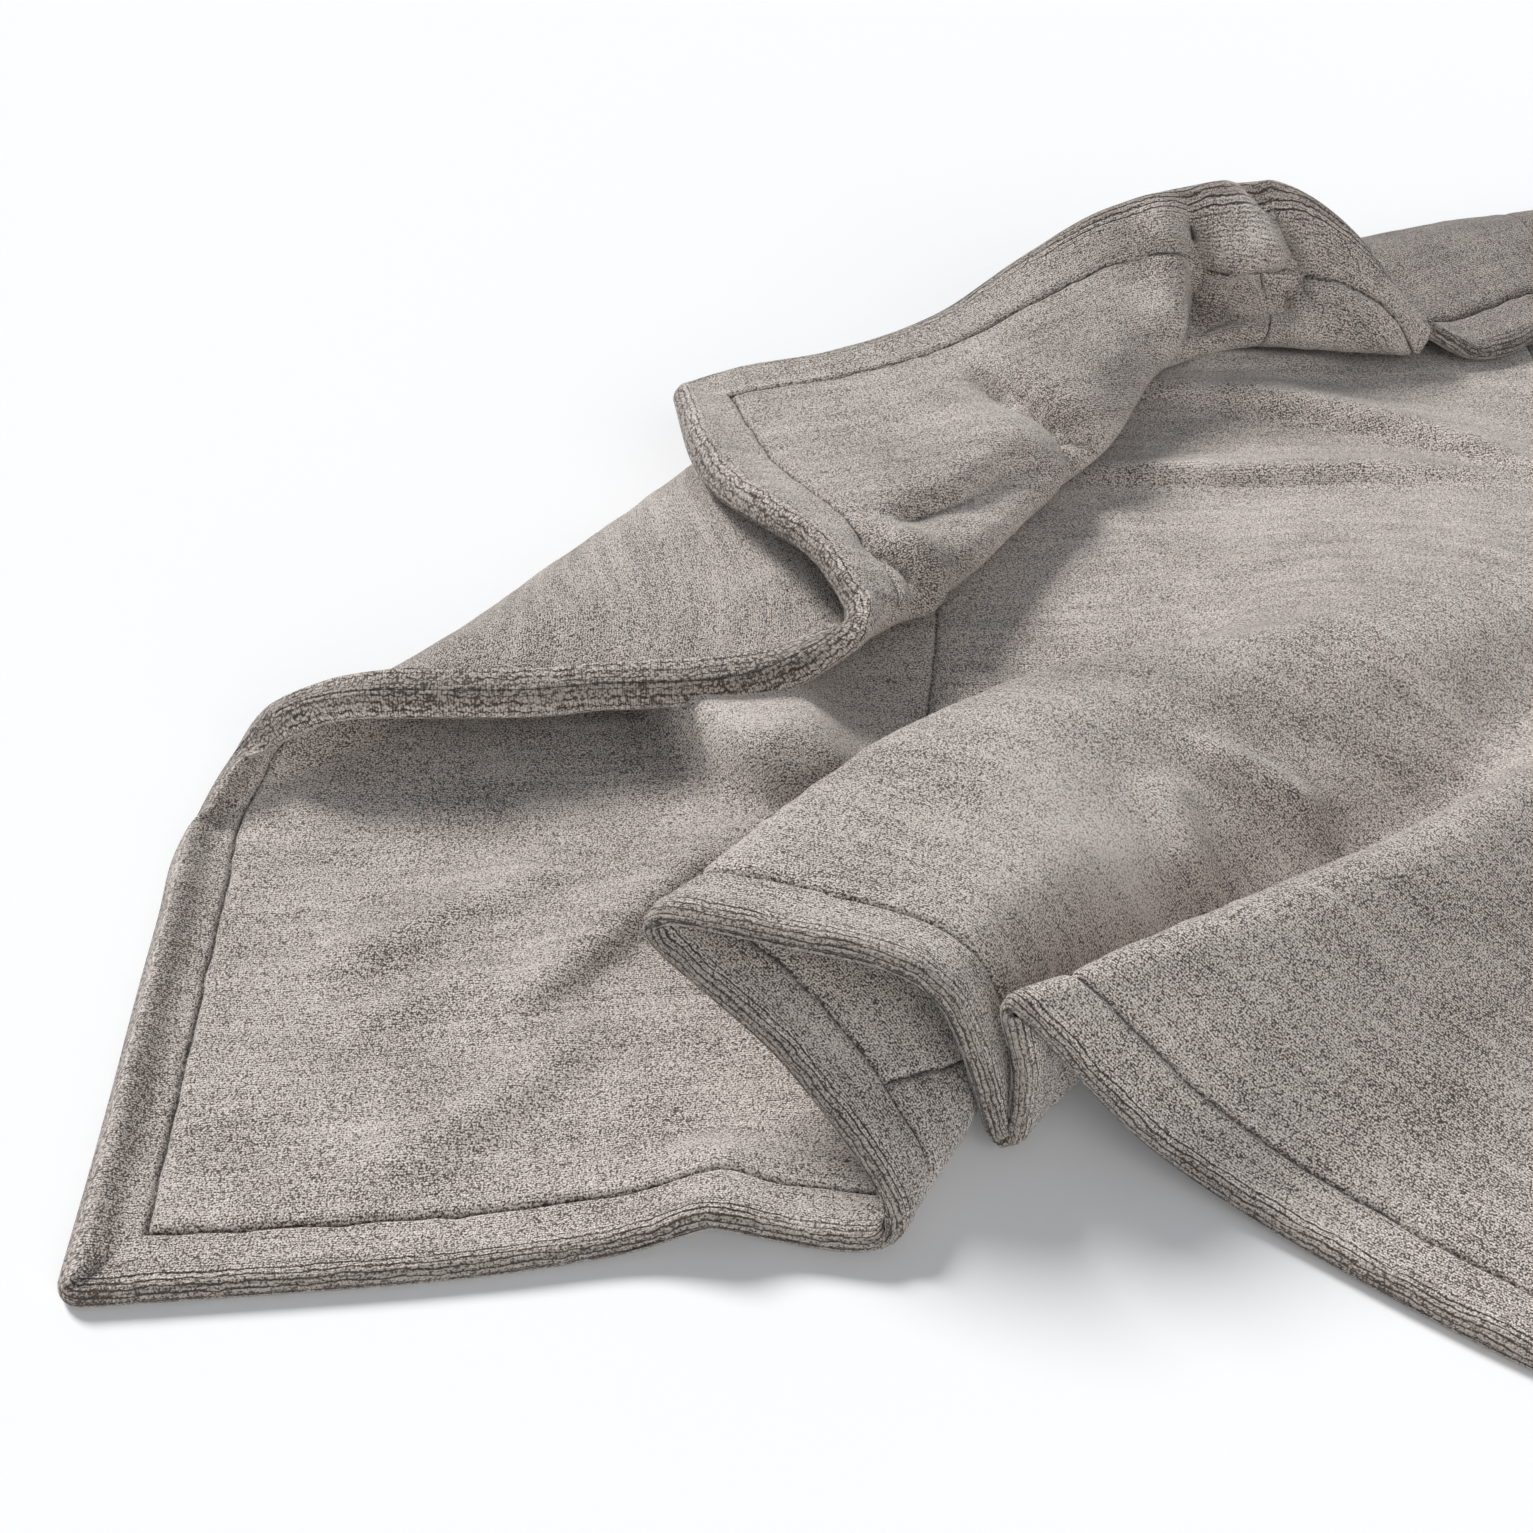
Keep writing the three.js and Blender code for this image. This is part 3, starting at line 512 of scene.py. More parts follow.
# The pile side of a panel, measured from the middle of the cloth: it rounds down to the sewn edge, shows
# its rows of loops along the rim, and is drawn in along each line of stitches. Waves are given as height
# and length, and patches as what is even, what is uneven, and the length.
pile = {
    "cornerRadius": 0.009,
    "edgeRound": 0.0034,
    "rimCrest": 0.0010,
    "rimCrestPlace": 0.0065,
    "rimCrestReach": 0.0040,
    "rowPitch": 0.0021,
    "rowDepth": 0.0006,
    "rowReach": (0.0055, 0.0095),
    "rowWander": (0.0010, 0.022),
    "rowPatch": (0.62, 0.5, 0.018),
    "rowPatchStep": 0.05,
    "rowFade": 0.004,
    "rowStart": 0.0008,
    "rowWidth": 0.16,
    "stitchInset": 0.023,
    "stitchWander": (0.0006, 0.006),
    "stitchDepth": 0.0021,
    "stitchReach": 0.0013,
    "stitchHollow": 0.0008,
    "stitchHollowReach": 0.0045,
    "stitchHollowPatch": (0.75, 0.35, 0.012),
    "crossPlaces": (0.300, 0.600),
    "crossShare": 0.9,
    "crossEnd": 0.0005,
    "unevenness": (0.00035, 0.016),
    "lumpiness": (0.00016, 0.0045),
    "least": 0.00005,
}
seeds = {
    "across": 11, "along": 12, "cross": 13, "hollow": 21,
    "face": 40, "back": 60, "seamAlong": 90, "seamAcross": 91,
}


def bell(x):
    return np.exp(-0.5 * x**2)


def edgeGaps(along, across):
    return np.minimum(along, clothLength - along), np.minimum(across, clothWidth - across)



def roundedCut(along, across):
    radius = pile["cornerRadius"]
    fromU, fromV = edgeGaps(along, across)
    q = np.stack([np.clip(radius - fromU, 0, radius), np.clip(radius - fromV, 0, radius)], axis=-1)
    corner = (q[..., 0] > 0) & (q[..., 1] > 0)
    longest = q.max(axis=-1)
    length = np.linalg.norm(q, axis=-1)
    shrink = np.where(corner, longest / np.maximum(length, net["least"]), 1)
    moved = q * shrink[..., None]
    newFromU = np.where(corner, radius - moved[..., 0], fromU)
    newFromV = np.where(corner, radius - moved[..., 1], fromV)
    newAlong = np.where(along < clothLength / 2, newFromU, clothLength - newFromU)
    newAcross = np.where(across < clothWidth / 2, newFromV, clothWidth - newFromV)
    fromEdge = np.minimum(fromU, fromV)
    return newAlong, newAcross, fromEdge


def waved(key, along, across, seed):
    height, length = pile[key]
    return height * smoothNoise(along, across, length, seed)


def patched(key, along, across, seed):
    even, uneven, length = pile[key]
    return even + uneven * smoothNoise(along, across, length, seed)


def stitchWander(place, seed):
    return waved("stitchWander", place, place * 0, seed)


def stitchPull(distance, place):
    line = pile["stitchDepth"] * bell(distance / (pile["stitchReach"] / 2))
    hollow = pile["stitchHollow"] * bell(distance / (pile["stitchHollowReach"] / 2))
    return line + hollow * patched("stitchHollowPatch", place, place * 0, seeds["hollow"])


def leftPuff(along, across, side):
    besideLeft = (along < np.minimum(across, clothWidth - across)) & (along < clothLength / 2)
    return np.where(besideLeft, hemAt(across, 4 if side > 0 else 5), 0)


def seamGaps(along, across):
    fromU, fromV = edgeGaps(along, across)
    inset = pile["stitchInset"]
    inBorder = inset - pile["crossEnd"]
    besideU = fromU - (inset + stitchWander(across, seeds["across"]))
    besideV = fromV - (inset + stitchWander(along, seeds["along"]))
    gaps = [
        (np.where(fromV >= inBorder, besideU, 1), across, 1),
        (np.where(fromU >= inBorder, besideV, 1), along, 1),
    ]
    for n, cross in enumerate(pile["crossPlaces"]):
        beside = along - cross - stitchWander(across, seeds["cross"] + n)
        gaps.append((np.where(fromV >= inBorder, beside, 1), across, pile["crossShare"]))
    return gaps


def pileHeight(along, across, fromEdge, side):
    seed = seeds["face"] if side > 0 else seeds["back"]
    fromU, fromV = edgeGaps(along, across)
    nearestIsU = fromU < fromV
    place = np.where(nearestIsU, across, along)
    puff = leftPuff(along, across, side)
    rounding = np.clip(fromEdge / (pile["edgeRound"] + puff * hem["roundShare"]), 0, 1)
    rounded = np.sqrt(np.clip(1 - (1 - rounding) ** 2, 0, 1))
    puffed = puff * bell((fromEdge - hem["crestPlace"]) / hem["crestReach"])
    height = (towel["panelThickness"] + puffed) * rounded
    height += pile["rimCrest"] * bell((fromEdge - pile["rimCrestPlace"]) / pile["rimCrestReach"]) * rounded
    wander = waved("rowWander", place, fromEdge, seed + 1)
    phase = (rimRun(fromEdge) + wander) / pile["rowPitch"]
    toGroove = np.abs(phase - np.round(phase))
    patch = patched("rowPatch", place, np.round(phase) * pile["rowPatchStep"], seed + 2)
    rowReach = np.where(nearestIsU, *pile["rowReach"])
    fade = np.clip((rowReach + wander * 2 - fromEdge) / pile["rowFade"], 0, 1)
    fade *= np.clip(fromEdge / pile["rowStart"], 0, 1)
    height -= pile["rowDepth"] * np.clip(patch, 0, 1) * fade * bell(toGroove / pile["rowWidth"])
    pulls = [stitchPull(gap, run) * share for gap, run, share in seamGaps(along, across)]
    height -= np.maximum(pulls[0], pulls[1]) + pulls[2] + pulls[3]
    height += waved("unevenness", along, across, seed + 3) * rounding
    height += waved("lumpiness", along, across, seed + 4) * rounding
    return towel["panelGap"] / 2 + np.maximum(height, pile["least"])


# Painted light and shade: patches where the pile's colour is made lighter or darker to stand in for how
# light falls, such as painted shade under the turned edge, below the pinch and on the part of the turned
# flap that faces away, and painted light on the small fold under the turned edge and in the valley in front
# of the pleat. Place (u, v), reach along and across in metres, and share of the brightness.
paintedShadingOnFace = [
    (0.222, 0.258, 0.02, 0.042, 0.36), (0.18, 0.282, 0.01, 0.024, -0.28),
    (0.196, 0.246, 0.009, 0.02, -0.28), (0.219, 0.217, 0.01, 0.014, -0.24),
    (0.262, 0.655, 0.016, 0.008, -0.3), (0.13, 0.24, 0.05, 0.022, -0.1),
    (0.012, 0.1, 0.0035, 0.11, -0.24), (0.47, 0.23, 0.06, 0.018, -0.1), (0.4, 0.19, 0.03, 0.02, -0.06),
    (0.5, 0.112, 0.035, 0.026, 0.34), (0.105, 0.64, 0.03, 0.02, 0.07), (0.17, 0.64, 0.02, 0.02, -0.14),
    (0.06, 0.6, 0.024, 0.02, -0.06), (0.295, 0.672, 0.03, 0.01, -0.08), (0.36, 0.672, 0.02, 0.008, -0.08),
    (0.33, 0.655, 0.012, 0.007, 0.16), (0.44, 0.47, 0.06, 0.01, -0.08), (0.43, 0.4, 0.04, 0.02, 0.05),
    (0.345, 0.52, 0.04, 0.04, -0.1), (0.3, 0.1, 0.03, 0.02, 0.08), (0.04, 0.53, 0.02, 0.012, -0.16),
    (0.6, 0.6, 0.12, 0.06, -0.1), (0.7, 0.3, 0.08, 0.05, 0.06), (0.76, 0.12, 0.07, 0.04, -0.07),
    (0.25, 0.03, 0.03, 0.03, 0.1),
]
paintedShadingOnBack = [
    (0.56, 0.6, 0.16, 0.11, -0.32), (0.12, 0.43, 0.03, 0.03, 0.06), (0.06, 0.33, 0.06, 0.02, -0.08),
    (0.12, 0.52, 0.04, 0.03, -0.1), (0.3, 0.1, 0.04, 0.04, 0.16), (0.75, 0.3, 0.08, 0.08, 0.06),
]


def paintedShadingAt(along, across, side):
    share = np.zeros_like(along)
    for u, v, reachU, reachV, strength in paintedShadingOnFace if side > 0 else paintedShadingOnBack:
        share += strength * np.exp(-0.5 * (((along - u) / reachU) ** 2 + ((across - v) / reachV) ** 2))
    return share


def rimRun(fromEdge):
    turn = np.clip(fromEdge / pile["edgeRound"], 0, 1)
    return np.arccos(1 - turn) * pile["edgeRound"] + np.clip(fromEdge - pile["edgeRound"], 0, None)


# Where the lines of a panel's mesh run, in metres from an edge or from a cross seam: close together round
# the rim and along the stitches, wide apart in between. The hidden side takes every fourth line.
cells = {
    "edge": [0, 0.0002, 0.0005, 0.0009, 0.0013, 0.0018],
    "rim": (0.0023, 0.0145, 0.00055),
    "border": [
        0.0155, 0.017, 0.0185, 0.0198, 0.0209, 0.0218, 0.0224, 0.0228, 0.0232, 0.0237, 0.0243, 0.0252,
        0.0264, 0.028, 0.0302, 0.033,
    ],
    "besideSeam": [0.0004, 0.001, 0.0018, 0.003, 0.0048, 0.0075],
    "step": 0.0034,
    "wideStep": 0.0050,
    "wideFrom": 0.6,
    "groundEvery": 4,
}


def meshLines(total, seams):
    edge = cells["edge"] + list(np.arange(*cells["rim"])) + cells["border"]
    beside = np.array(cells["besideSeam"])
    lines = edge + [total - place for place in edge]
    for seam in seams:
        lines += [*(seam - beside), *(seam + beside)]
    starts = [edge[-1]] + [seam + beside[-1] for seam in seams]
    ends = [seam - beside[-1] for seam in seams] + [total - edge[-1]]
    for start, end in zip(starts, ends):
        spacing = cells["step"] if start < cells["wideFrom"] else cells["wideStep"]
        count = max(1, round((end - start) / spacing))
        lines += list(np.linspace(start, end, count + 1)[1:-1])
    return np.array(sorted(lines))


alongLines = meshLines(clothLength, pile["crossPlaces"])
acrossLines = meshLines(clothWidth, [])


def sparse(count):
    kept = list(range(0, count - 1, cells["groundEvery"]))
    if count - 1 - kept[-1] < cells["groundEvery"] - 1:
        kept.pop()
    return kept + [count - 1]


def clothPlace(along, across, offset):
    facing = unit(fromNet(facingNet, along, across))
    place = fromNet(middleNet, along, across) + facing * offset[..., None]
    place[..., 2] = np.maximum(place[..., 2], 0)
    place[..., 0] += towel["cornerPlace"][0]
    place[..., 1] += towel["cornerPlace"][1]
    return place


def addGrid(bm, places):
    columns, rows = places.shape[:2]
    made = bmesh.ops.create_grid(bm, x_segments=columns - 1, y_segments=rows - 1, size=1)["verts"]
    flat = np.array([vert.co[:2] for vert in made])
    i = np.rint((flat[:, 0] + 1) / 2 * (columns - 1)).astype(int)
    j = np.rint((flat[:, 1] + 1) / 2 * (rows - 1)).astype(int)
    grid = np.empty((columns, rows), object)
    for vert, column, row in zip(made, i, j):
        vert.co = places[column, row]
        grid[column, row] = vert
    return grid


def rimOf(grid):
    return [*grid[:-1, 0], *grid[-1, :-1], *grid[:0:-1, -1], *grid[0, :0:-1]]


def pieceOf(name, bm):
    mesh = bpy.data.meshes.new(name)
    bm.to_mesh(mesh)
    bm.free()
    mesh.polygons.foreach_set("use_smooth", [True] * len(mesh.polygons))
    return linked(name, mesh)


# What the pile's material needs to know at each place: the run of cloth round the rim, the gap to the
# nearest stitches, whether the nearest edge is an end of the towel, how open the rows of loops stand there,
# and the patches of painted light and shade. At the near left corner, where the hem is a plump roll, the
# rows are nearly closed.
markNames = ("rimRun", "seamGap", "endwise", "lined", "paintedShading")
nearCorner = {"length": 0.1, "openFrom": 0.19, "openOver": 0.05, "closed": 0.18}


def pileMarks(along, across, distance, side):
    fromU, fromV = edgeGaps(along, across)
    endwise = fromU < fromV
    opening = np.clip((across - nearCorner["openFrom"]) / nearCorner["openOver"], nearCorner["closed"], 1)
    seamGap = np.min([np.abs(gap) for gap, run, share in seamGaps(along, across)], axis=0)
    lined = np.where((along < nearCorner["length"]) & endwise, opening, 1)
    return rimRun(distance), seamGap, endwise, lined, paintedShadingAt(along, across, side)


def makePanel(name, side):
    along, across = np.meshgrid(alongLines, acrossLines, indexing="ij")
    cutAlong, cutAcross, fromEdge = roundedCut(along, across)
    outer = pileHeight(cutAlong, cutAcross, fromEdge, side) * side
    inner = np.full_like(outer, towel["panelGap"] / 2) * side
    bm = bmesh.new()
    pileGrid = addGrid(bm, clothPlace(cutAlong, cutAcross, outer))
    kept = np.ix_(sparse(len(alongLines)), sparse(len(acrossLines)))
    groundGrid = addGrid(bm, clothPlace(cutAlong[kept], cutAcross[kept], inner[kept]))
    fine, coarse, partners = rimOf(pileGrid), rimOf(groundGrid), rimOf(pileGrid[kept])
    order = {vert: n for n, vert in enumerate(fine)}
    for n, place in enumerate(coarse):
        nextPlace = coarse[(n + 1) % len(coarse)]
        first = order[partners[n]]
        last = order[partners[(n + 1) % len(partners)]] or len(fine)
        middle = (first + last) // 2
        for k in range(first, last):
            apex = place if k < middle else nextPlace
            bm.faces.new((fine[k], fine[(k + 1) % len(fine)], apex))
        bm.faces.new((fine[middle % len(fine)], nextPlace, place))
    bm.normal_update()
    bmesh.ops.recalc_face_normals(bm, faces=bm.faces)
    bm.verts.index_update()
    count = len(bm.verts)
    flat = np.zeros((count, 2))
    marks = np.zeros((len(markNames), count))
    ground = (groundGrid, cutAlong[kept], cutAcross[kept], fromEdge[kept])
    for grid, u, v, distance in ((pileGrid, cutAlong, cutAcross, fromEdge), ground):
        indices = np.array([[vert.index for vert in line] for line in grid])
        flat[indices] = np.stack([u, v], axis=-1)
        for values, found in zip(marks, pileMarks(u, v, distance, side)):
            values[indices] = found
    piece = pieceOf(name, bm)
    mesh = piece.data
    corners = np.empty(len(mesh.loops), int)
    mesh.loops.foreach_get("vertex_index", corners)
    mesh.uv_layers.new(name="flat").data.foreach_set("uv", flat[corners].ravel())
    for key, values in zip(markNames, marks):
        mesh.attributes.new(key, "FLOAT", "POINT").data.foreach_set("value", values)
    return piece


facePanel = makePanel("facePanel", 1)
backPanel = makePanel("backPanel", -1)
print("stage: panels", len(facePanel.data.polygons), len(backPanel.data.polygons))

# Sewing thread: one needle thread and one bobbin thread to each line of stitches, pulled into the pile,
# and the seam that holds the panels together inside the edge.
thread = {
    "diameter": 0.00055,
    "stitch": 0.0024,
    "rise": 0.00042,
    "step": 0.0006,
    "cornerSteps": 6,
    "seamInset": 0.008,
    "crossGap": 0.001,
    "sides": 6,
    "mergeGap": 1e-7,
}


def loopPath(inset, alongSeed, acrossSeed):
    right, far = clothLength - inset, clothWidth - inset
    corners = np.array([(inset, inset), (right, inset), (right, far), (inset, far)])
    pieces = []
    for n in range(4):
        start, end = corners[n], corners[(n + 1) % 4]
        run = n % 2
        count = round(np.linalg.norm(end - start) / thread["step"])
        line = start + (end - start) * np.linspace(0, 1, count, endpoint=False)[:, None]
        fromCorner = np.minimum(np.arange(count), np.arange(count)[::-1])
        ends = np.clip(fromCorner / thread["cornerSteps"], 0, 1)
        wobble = stitchWander(line[:, run], acrossSeed if run else alongSeed) * ends
        line[:, 1 - run] += wobble if start[1 - run] == inset else -wobble
        pieces.append(line)
    return np.concatenate(pieces)


def crossPath(n):
    start = pile["stitchInset"] + thread["crossGap"]
    across = np.arange(start, clothWidth - start, thread["step"])
    return np.stack([pile["crossPlaces"][n] + stitchWander(across, seeds["cross"] + n), across], axis=1)


def makeThread(name, path, side, closed):
    along, across = path.T
    offset = np.zeros(len(path))
    if side:
        run = np.arange(len(path)) * thread["step"]
        stitches = np.cos(2 * math.pi * run / thread["stitch"])
        offset = pileHeight(along, across, np.minimum(*edgeGaps(along, across)), side)
        offset = (offset + thread["rise"] * stitches) * side
    centres = clothPlace(along, across, offset)
    facing = fromNet(facingNet, along, across)
    if closed:
        heading = np.roll(centres, -1, axis=0) - np.roll(centres, 1, axis=0)
    else:
        heading = np.gradient(centres, axis=0)
    heading = unit(heading)
    sideways = unit(np.cross(heading, facing))
    upward = np.cross(sideways, heading)
    turns = np.linspace(0, 2 * math.pi, thread["sides"] + 1)[:, None]
    radius = thread["diameter"] / 2
    rings = centres[:, None] + radius * (sideways[:, None] * np.cos(turns) + upward[:, None] * np.sin(turns))
    rings[..., 2] = np.maximum(rings[..., 2], 0)
    if closed:
        rings = np.concatenate([rings, rings[:1]])
    bm = bmesh.new()
    addGrid(bm, rings)
    bmesh.ops.remove_doubles(bm, verts=bm.verts, dist=thread["mergeGap"])
    if not closed:
        bmesh.ops.holes_fill(bm, edges=[edge for edge in bm.edges if edge.is_boundary], sides=0)
    bmesh.ops.recalc_face_normals(bm, faces=bm.faces)
    return pieceOf(name, bm)


border = loopPath(pile["stitchInset"], seeds["along"], seeds["across"])
hidden = loopPath(thread["seamInset"], seeds["seamAlong"], seeds["seamAcross"])
threads = {
    "edge_seam_thread": makeThread("edgeSeamThread", hidden, 0, True),
    "border_needle_thread": makeThread("borderNeedleThread", border, 1, True),
    "border_bobbin_thread": makeThread("borderBobbinThread", border, -1, True),
    "first_cross_needle_thread": makeThread("firstCrossNeedleThread", crossPath(0), 1, False),
    "first_cross_bobbin_thread": makeThread("firstCrossBobbinThread", crossPath(0), -1, False),
    "second_cross_needle_thread": makeThread("secondCrossNeedleThread", crossPath(1), 1, False),
    "second_cross_bobbin_thread": makeThread("secondCrossBobbinThread", crossPath(1), -1, False),
}
print("stage: threads")


def linear(hexColour):
    channels = [int(hexColour[n : n + 2], 16) / 255 for n in (1, 3, 5)]
    return tuple(c / 12.92 if c <= 0.04045 else ((c + 0.055) / 1.055) ** 2.4 for c in channels) + (1,)


def newMaterial(name):
    material = bpy.data.materials.new(name)
    material.use_nodes = True
    tree = material.node_tree
    tree.nodes.clear()
    return material, tree


def addNode(tree, kind, inputs=(), output=0, **settings):
    node = tree.nodes.new(kind)
    for key, value in settings.items():
        setattr(node, key, value)
    for key, value in inputs.items() if isinstance(inputs, dict) else enumerate(inputs):
        if isinstance(value, bpy.types.NodeSocket):
            tree.links.new(value, node.inputs[key])
        else:
            node.inputs[key].default_value = value
    return node.outputs[output] if len(node.outputs) else None


def maths(tree, operation, *values, **settings):
    return addNode(tree, "ShaderNodeMath", values, operation=operation, **settings)


def mixed(tree, share, first, second):
    return addNode(tree, "ShaderNodeMix", {0: share, 6: first, 7: second}, 2, data_type="RGBA")


# Short microfibre loop pile. Each loop is under a millimetre across. Its colour is painted by how high the
# pile stands: painted light on the pale loop tops, darker sides, and painted shade in the gaps between. The
# loops lie in faint rows along the towel. Round the rim the turned edge spreads them and opens grooves
# between the rows, painted dark as shade, and along a seam they are drawn down into a groove painted dark
# as shade.
pileLook = {
    "loopSize": 0.00064,
    "rimLoopSize": 0.0013,
    # Painted light and shade: the loop top colour is painted light, the loop side colour and the gap colour
    # are painted shade between the loops, and deep is painted shade in the grooves of the rim rows and the
    # seams.
    "litLoopTop": "#fff6ee",
    "shadedLoopSide": "#cfc4bc",
    "gap": "#5c544e",
    "deep": "#423d3b",
    "rimTop": "#e3d8cb",
    "sheen": "#f4efe9",
    "rimRow": 0.0021,
    "loopRow": 0.00095,
    "streak": (9, 120, 1),
    "bump": {"Strength": 0.8, "Distance": 0.00042},
}

# Unevenness of the pile: what it follows, how many waves go to a metre, and its detail. 1500 to a metre is
# the twist of one loop, 640 a clump of loops, 26 a patch that a hand has stroked.
pileNoises = {
    "clump": ("object", 640, 1),
    "twist": ("object", 1500, 3),
    "rowShift": ("flat", 300, 2),
    "rimBow": ("flat", 75, 2),
    "rimRagged": ("flat", 380, 2),
    "rimBroken": ("flat", 190, 2),
    "seamRagged": ("flat", 480, 2),
    "stitches": ("flat", 520, 2),
    "streak": ("streak", 1.6, 4),
    "stroke": ("flat", 26, 3),
}

# How much of each unevenness counts. Rows, bows and ragged edges are in metres.
pileShares = {
    "clump": 0.42,
    "twist": 1.75,
    "row": 0.35,
    "rowShift": 0.0016,
    "rimBow": 0.0030,
    "rimLine": -0.7,
    "seamRagged": 0.0020,
    "streak": 0.55,
    "stroke": 0.5,
    "paintedShading": 0.9,
    "rimTop": 0.55,
    "rimPaintedGrooveShade": 0.75,
}

# Eased steps: from this value to that, the result goes from this to that. The rim's are in metres of cloth.
pileSteps = {
    "loop": (0.1, 0.8, 1, 0),
    "nearRim": (0.004, 0.012, 1, 0),
    "endLoops": (0, 1, 0.4, 1),
    "row": (0, pileLook["loopRow"] / 2, -0.5, 0.5),
    "endRagged": (0, 1, 0.0010, 0.0024),
    "rimLine": (0.00006, 0.00036, 1, 0),
    "rimLineReach": (0.0085, 0.0115, 1, 0),
    "rimBroken": (-0.12, 0.1, 0.35, 1),
    "endUnbroken": (0, 1, 0.85, 0),
    "seamLine": (0.0002, 0.0009, 1, 0),
    "side": (-0.08, 0.44, 0, 1),
    "top": (0.38, 1, 0, 1),
    "rimWarm": (0.002, 0.0075, 1, 0),
    "topWarm": (0.2, 0.9, 0, 1),
    # Painted shade round the rim: strongest within 3 mm of cloth from the edge, gone by 8.5 mm.
    "rimPaintedShade": (0.003, 0.0085, 0.42, 0),
    "stitches": (-0.10, 0.08, 0.12, 0.95),
}


def makePileMaterial(name, tone):
    material, tree = newMaterial(name)
    times = partial(maths, tree, "MULTIPLY")
    timesPlus = partial(maths, tree, "MULTIPLY_ADD")

    def eased(value, key):
        inputs = (value, *pileSteps[key])
        return addNode(tree, "ShaderNodeMapRange", inputs, interpolation_type="SMOOTHSTEP")

    flat = addNode(tree, "ShaderNodeUVMap", uv_map="flat")
    places = {
        "object": addNode(tree, "ShaderNodeTexCoord", output="Object"),
        "flat": flat,
        "streak": addNode(tree, "ShaderNodeVectorMath", (flat, pileLook["streak"]), operation="MULTIPLY"),
    }
    run, seam, endwise, lined, paintedShading = (
        addNode(tree, "ShaderNodeAttribute", output="Fac", attribute_name=key)
        for key in markNames
    )
    uneven = {"paintedShading": paintedShading}
    for key, (place, scale, detail) in pileNoises.items():
        inputs = {"Vector": places[place], "Scale": scale, "Detail": detail}
        waves = addNode(tree, "ShaderNodeTexNoise", inputs, "Fac")
        uneven[key] = maths(tree, "SUBTRACT", waves, 0.5)

    def withShares(value, *keys):
        for key in keys:
            value = timesPlus(uneven[key], pileShares[key], value)
        return value

    # The loops, fine on the faces and coarse on the rim, and their rows along the towel.
    loops = []
    for size in (pileLook["loopSize"], pileLook["rimLoopSize"]):
        inputs = {"Vector": places["object"], "Scale": 1 / size, "Randomness": 1.0}
        loops.append(eased(addNode(tree, "ShaderNodeTexVoronoi", inputs, feature="F1"), "loop"))
    nearRim = times(eased(run, "nearRim"), eased(endwise, "endLoops"))
    surface = addNode(tree, "ShaderNodeMix", {0: nearRim, 2: loops[0], 3: loops[1]}, data_type="FLOAT")
    across = withShares(addNode(tree, "ShaderNodeSeparateXYZ", (flat,), "Y"), "rowShift")
    uneven["row"] = eased(maths(tree, "PINGPONG", across, pileLook["loopRow"] / 2), "row")

    # Painted shade: the dark lines in the grooves between the rows of loops round the rim.
    bowed = timesPlus(uneven["rimRagged"], eased(endwise, "endRagged"), withShares(run, "rimBow"))
    rimLine = eased(maths(tree, "PINGPONG", bowed, pileLook["rimRow"] / 2), "rimLine")
    broken = maths(tree, "MAXIMUM", eased(uneven["rimBroken"], "rimBroken"), eased(endwise, "endUnbroken"))
    rimLine = times(times(times(rimLine, eased(run, "rimLineReach")), broken), lined)
    uneven["rimLine"] = rimLine
    surface = withShares(surface, "clump", "twist", "row", "rimLine")

    # The colours: painted light and shade that follow the pile's depth and the painted shading patches, warm
    # tops round the rim, painted shade on the rim's edge, and the painted shade along a seam.
    shaded = withShares(surface, "streak", "stroke", "paintedShading")
    warmth = times(eased(run, "rimWarm"), eased(shaded, "topWarm"))
    # Painted shade: the dark line where a seam draws the pile down into its groove.
    seamLine = eased(withShares(seam, "seamRagged"), "seamLine")
    keys = ("gap", "shadedLoopSide", "litLoopTop", "rimTop", "deep")
    gap, side, top, rim, deep = [(*(tone * c for c in linear(pileLook[key])[:3]), 1) for key in keys]
    # Painted shade in the gaps between loops and painted light on the loop tops: the colour runs from gap to
    # side to top as the pile stands higher.
    shade = gap
    for share, colour in (
        (eased(shaded, "side"), side),
        (eased(shaded, "top"), top),
        (times(warmth, pileShares["rimTop"]), rim),
        (times(rimLine, pileShares["rimPaintedGrooveShade"]), deep),
        # Painted shade on the rim's rounded edge and end face.
        (eased(run, "rimPaintedShade"), gap),
        (times(seamLine, eased(uneven["stitches"], "stitches")), deep),
        # Painted shade: where the painted shading patches are negative, the colour runs to the gap colour.
        (maths(tree, "SUBTRACT", 0.0, paintedShading, use_clamp=True), gap),
    ):
        shade = mixed(tree, share, shade, colour)
    look = {
        "Base Color": shade,
        "Roughness": 0.95,
        "Normal": addNode(tree, "ShaderNodeBump", {**pileLook["bump"], "Height": surface}),
        "Specular IOR Level": 0.1,
        "Sheen Weight": 0.75,
        "Sheen Roughness": 0.3,
        "Sheen Tint": linear(pileLook["sheen"]),
    }
    addNode(tree, "ShaderNodeOutputMaterial", {"Surface": addNode(tree, "ShaderNodeBsdfPrincipled", look)})
    return material


# Polyester sewing thread, a shade darker than the pile, with a fine twist whose raised crests are painted
# lighter as a painted highlight.
threadLook = {
    "colour": "#554e49",
    "light": "#7b736d",
    "twist": 0.0006,
    "wavesInTwist": 6,
    "unevenness": 3.0,
    "bump": {"Strength": 0.4, "Distance": 0.0001},
}


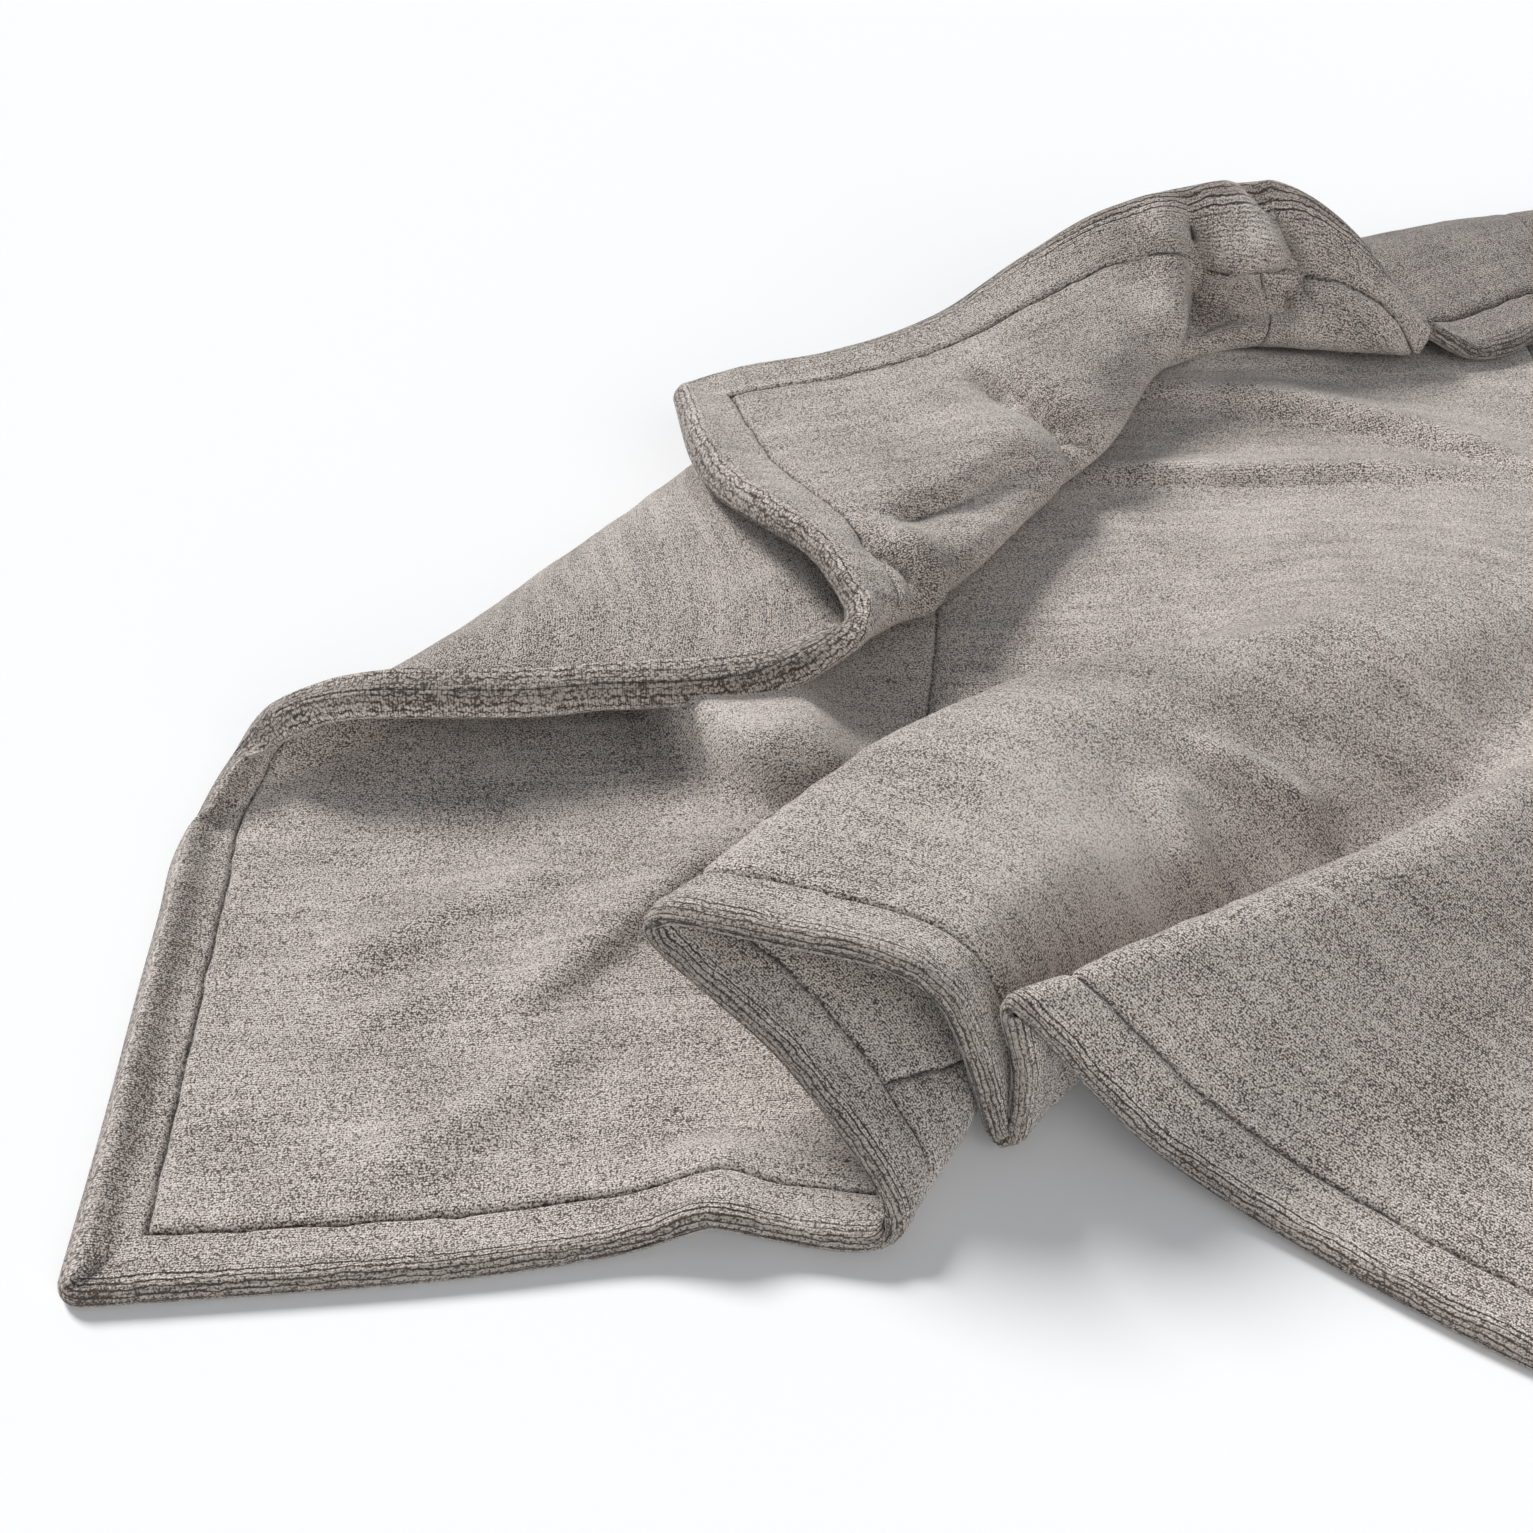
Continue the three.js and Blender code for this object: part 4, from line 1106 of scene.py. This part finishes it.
def makeThreadMaterial(name):
    material, tree = newMaterial(name)
    waves = {
        "Vector": addNode(tree, "ShaderNodeTexCoord", output="Object"),
        "Scale": 1 / threadLook["twist"] / threadLook["wavesInTwist"],
        "Distortion": threadLook["unevenness"],
    }
    twist = addNode(tree, "ShaderNodeTexWave", waves, "Fac")
    look = {
        # Painted highlight: the raised crests of the twist take the lighter colour.
        "Base Color": mixed(tree, twist, linear(threadLook["colour"]), linear(threadLook["light"])),
        "Roughness": 0.6,
        "Normal": addNode(tree, "ShaderNodeBump", {**threadLook["bump"], "Height": twist}),
        "Sheen Weight": 0.2,
    }
    addNode(tree, "ShaderNodeOutputMaterial", {"Surface": addNode(tree, "ShaderNodeBsdfPrincipled", look)})
    return material


facePanel.data.materials.append(makePileMaterial("facePile", 1.0))
backPanel.data.materials.append(makePileMaterial("backPile", 0.97))
threadMaterial = makeThreadMaterial("sewingThread")
for piece in threads.values():
    piece.data.materials.append(threadMaterial)
print("stage: materials")

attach(facePanel, "root")
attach(backPanel, "root")
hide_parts("face_panel")
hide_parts("back_panel")
for node, piece in threads.items():
    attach(piece, "root")
    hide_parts(node)

# A plain white floor under soft light: the main light stands high behind and to the left, and a wide,
# weaker one in front.
studio = {
    "floorSize": 6.0,
    "floorCells": 8,
    "floorDrop": 0.0004,
    "floorColour": "#f7f7f7",
    "floorGlow": 0.03,
    "skyStrength": 0.23,
    "sky": "#eef3fb",
    "lamps": [
        {"name": "key", "strength": 3.5, "softness": 18, "direction": (-0.54, 0.65, 0.62)},
        {"name": "fill", "strength": 1.3, "softness": 70, "direction": (0.28, -0.85, 0.38)},
    ],
}


def makeStudio():
    bm = bmesh.new()
    count = studio["floorCells"]
    bmesh.ops.create_grid(bm, x_segments=count, y_segments=count, size=studio["floorSize"] / 2)
    floor = pieceOf("floor", bm)
    floor.data.transform(Matrix.Translation((0, 0, -studio["floorDrop"])))
    material, tree = newMaterial("floorPaint")
    seen = addNode(tree, "ShaderNodeLightPath", output="Is Camera Ray")
    glow = maths(tree, "MULTIPLY", seen, studio["floorGlow"])
    matt = addNode(tree, "ShaderNodeBsdfDiffuse", {"Color": linear(studio["floorColour"])})
    shine = addNode(tree, "ShaderNodeEmission", {"Strength": glow})
    both = addNode(tree, "ShaderNodeAddShader", (matt, shine))
    addNode(tree, "ShaderNodeOutputMaterial", {"Surface": both})
    floor.data.materials.append(material)
    for lamp in studio["lamps"]:
        sun = bpy.data.lights.new(lamp["name"], "SUN")
        sun.energy = lamp["strength"]
        sun.angle = math.radians(lamp["softness"])
        turn = Vector(lamp["direction"]).to_track_quat("Z", "Y").to_euler()
        linked(lamp["name"], sun).rotation_euler = turn
    world = bpy.data.worlds.new("studio")
    world.use_nodes = True
    tree = world.node_tree
    background = tree.nodes["Background"]
    seen = addNode(tree, "ShaderNodeLightPath", output="Is Camera Ray")
    colour = mixed(tree, seen, linear(studio["sky"]), (1, 1, 1, 1))
    strength = addNode(tree, "ShaderNodeMapRange", {0: seen, "To Min": studio["skyStrength"], "To Max": 1.0})
    tree.links.new(colour, background.inputs["Color"])
    tree.links.new(strength, background.inputs["Strength"])
    bpy.context.scene.world = world


makeStudio()
bpy.context.scene.view_settings.view_transform = "Standard"
print("stage: studio")
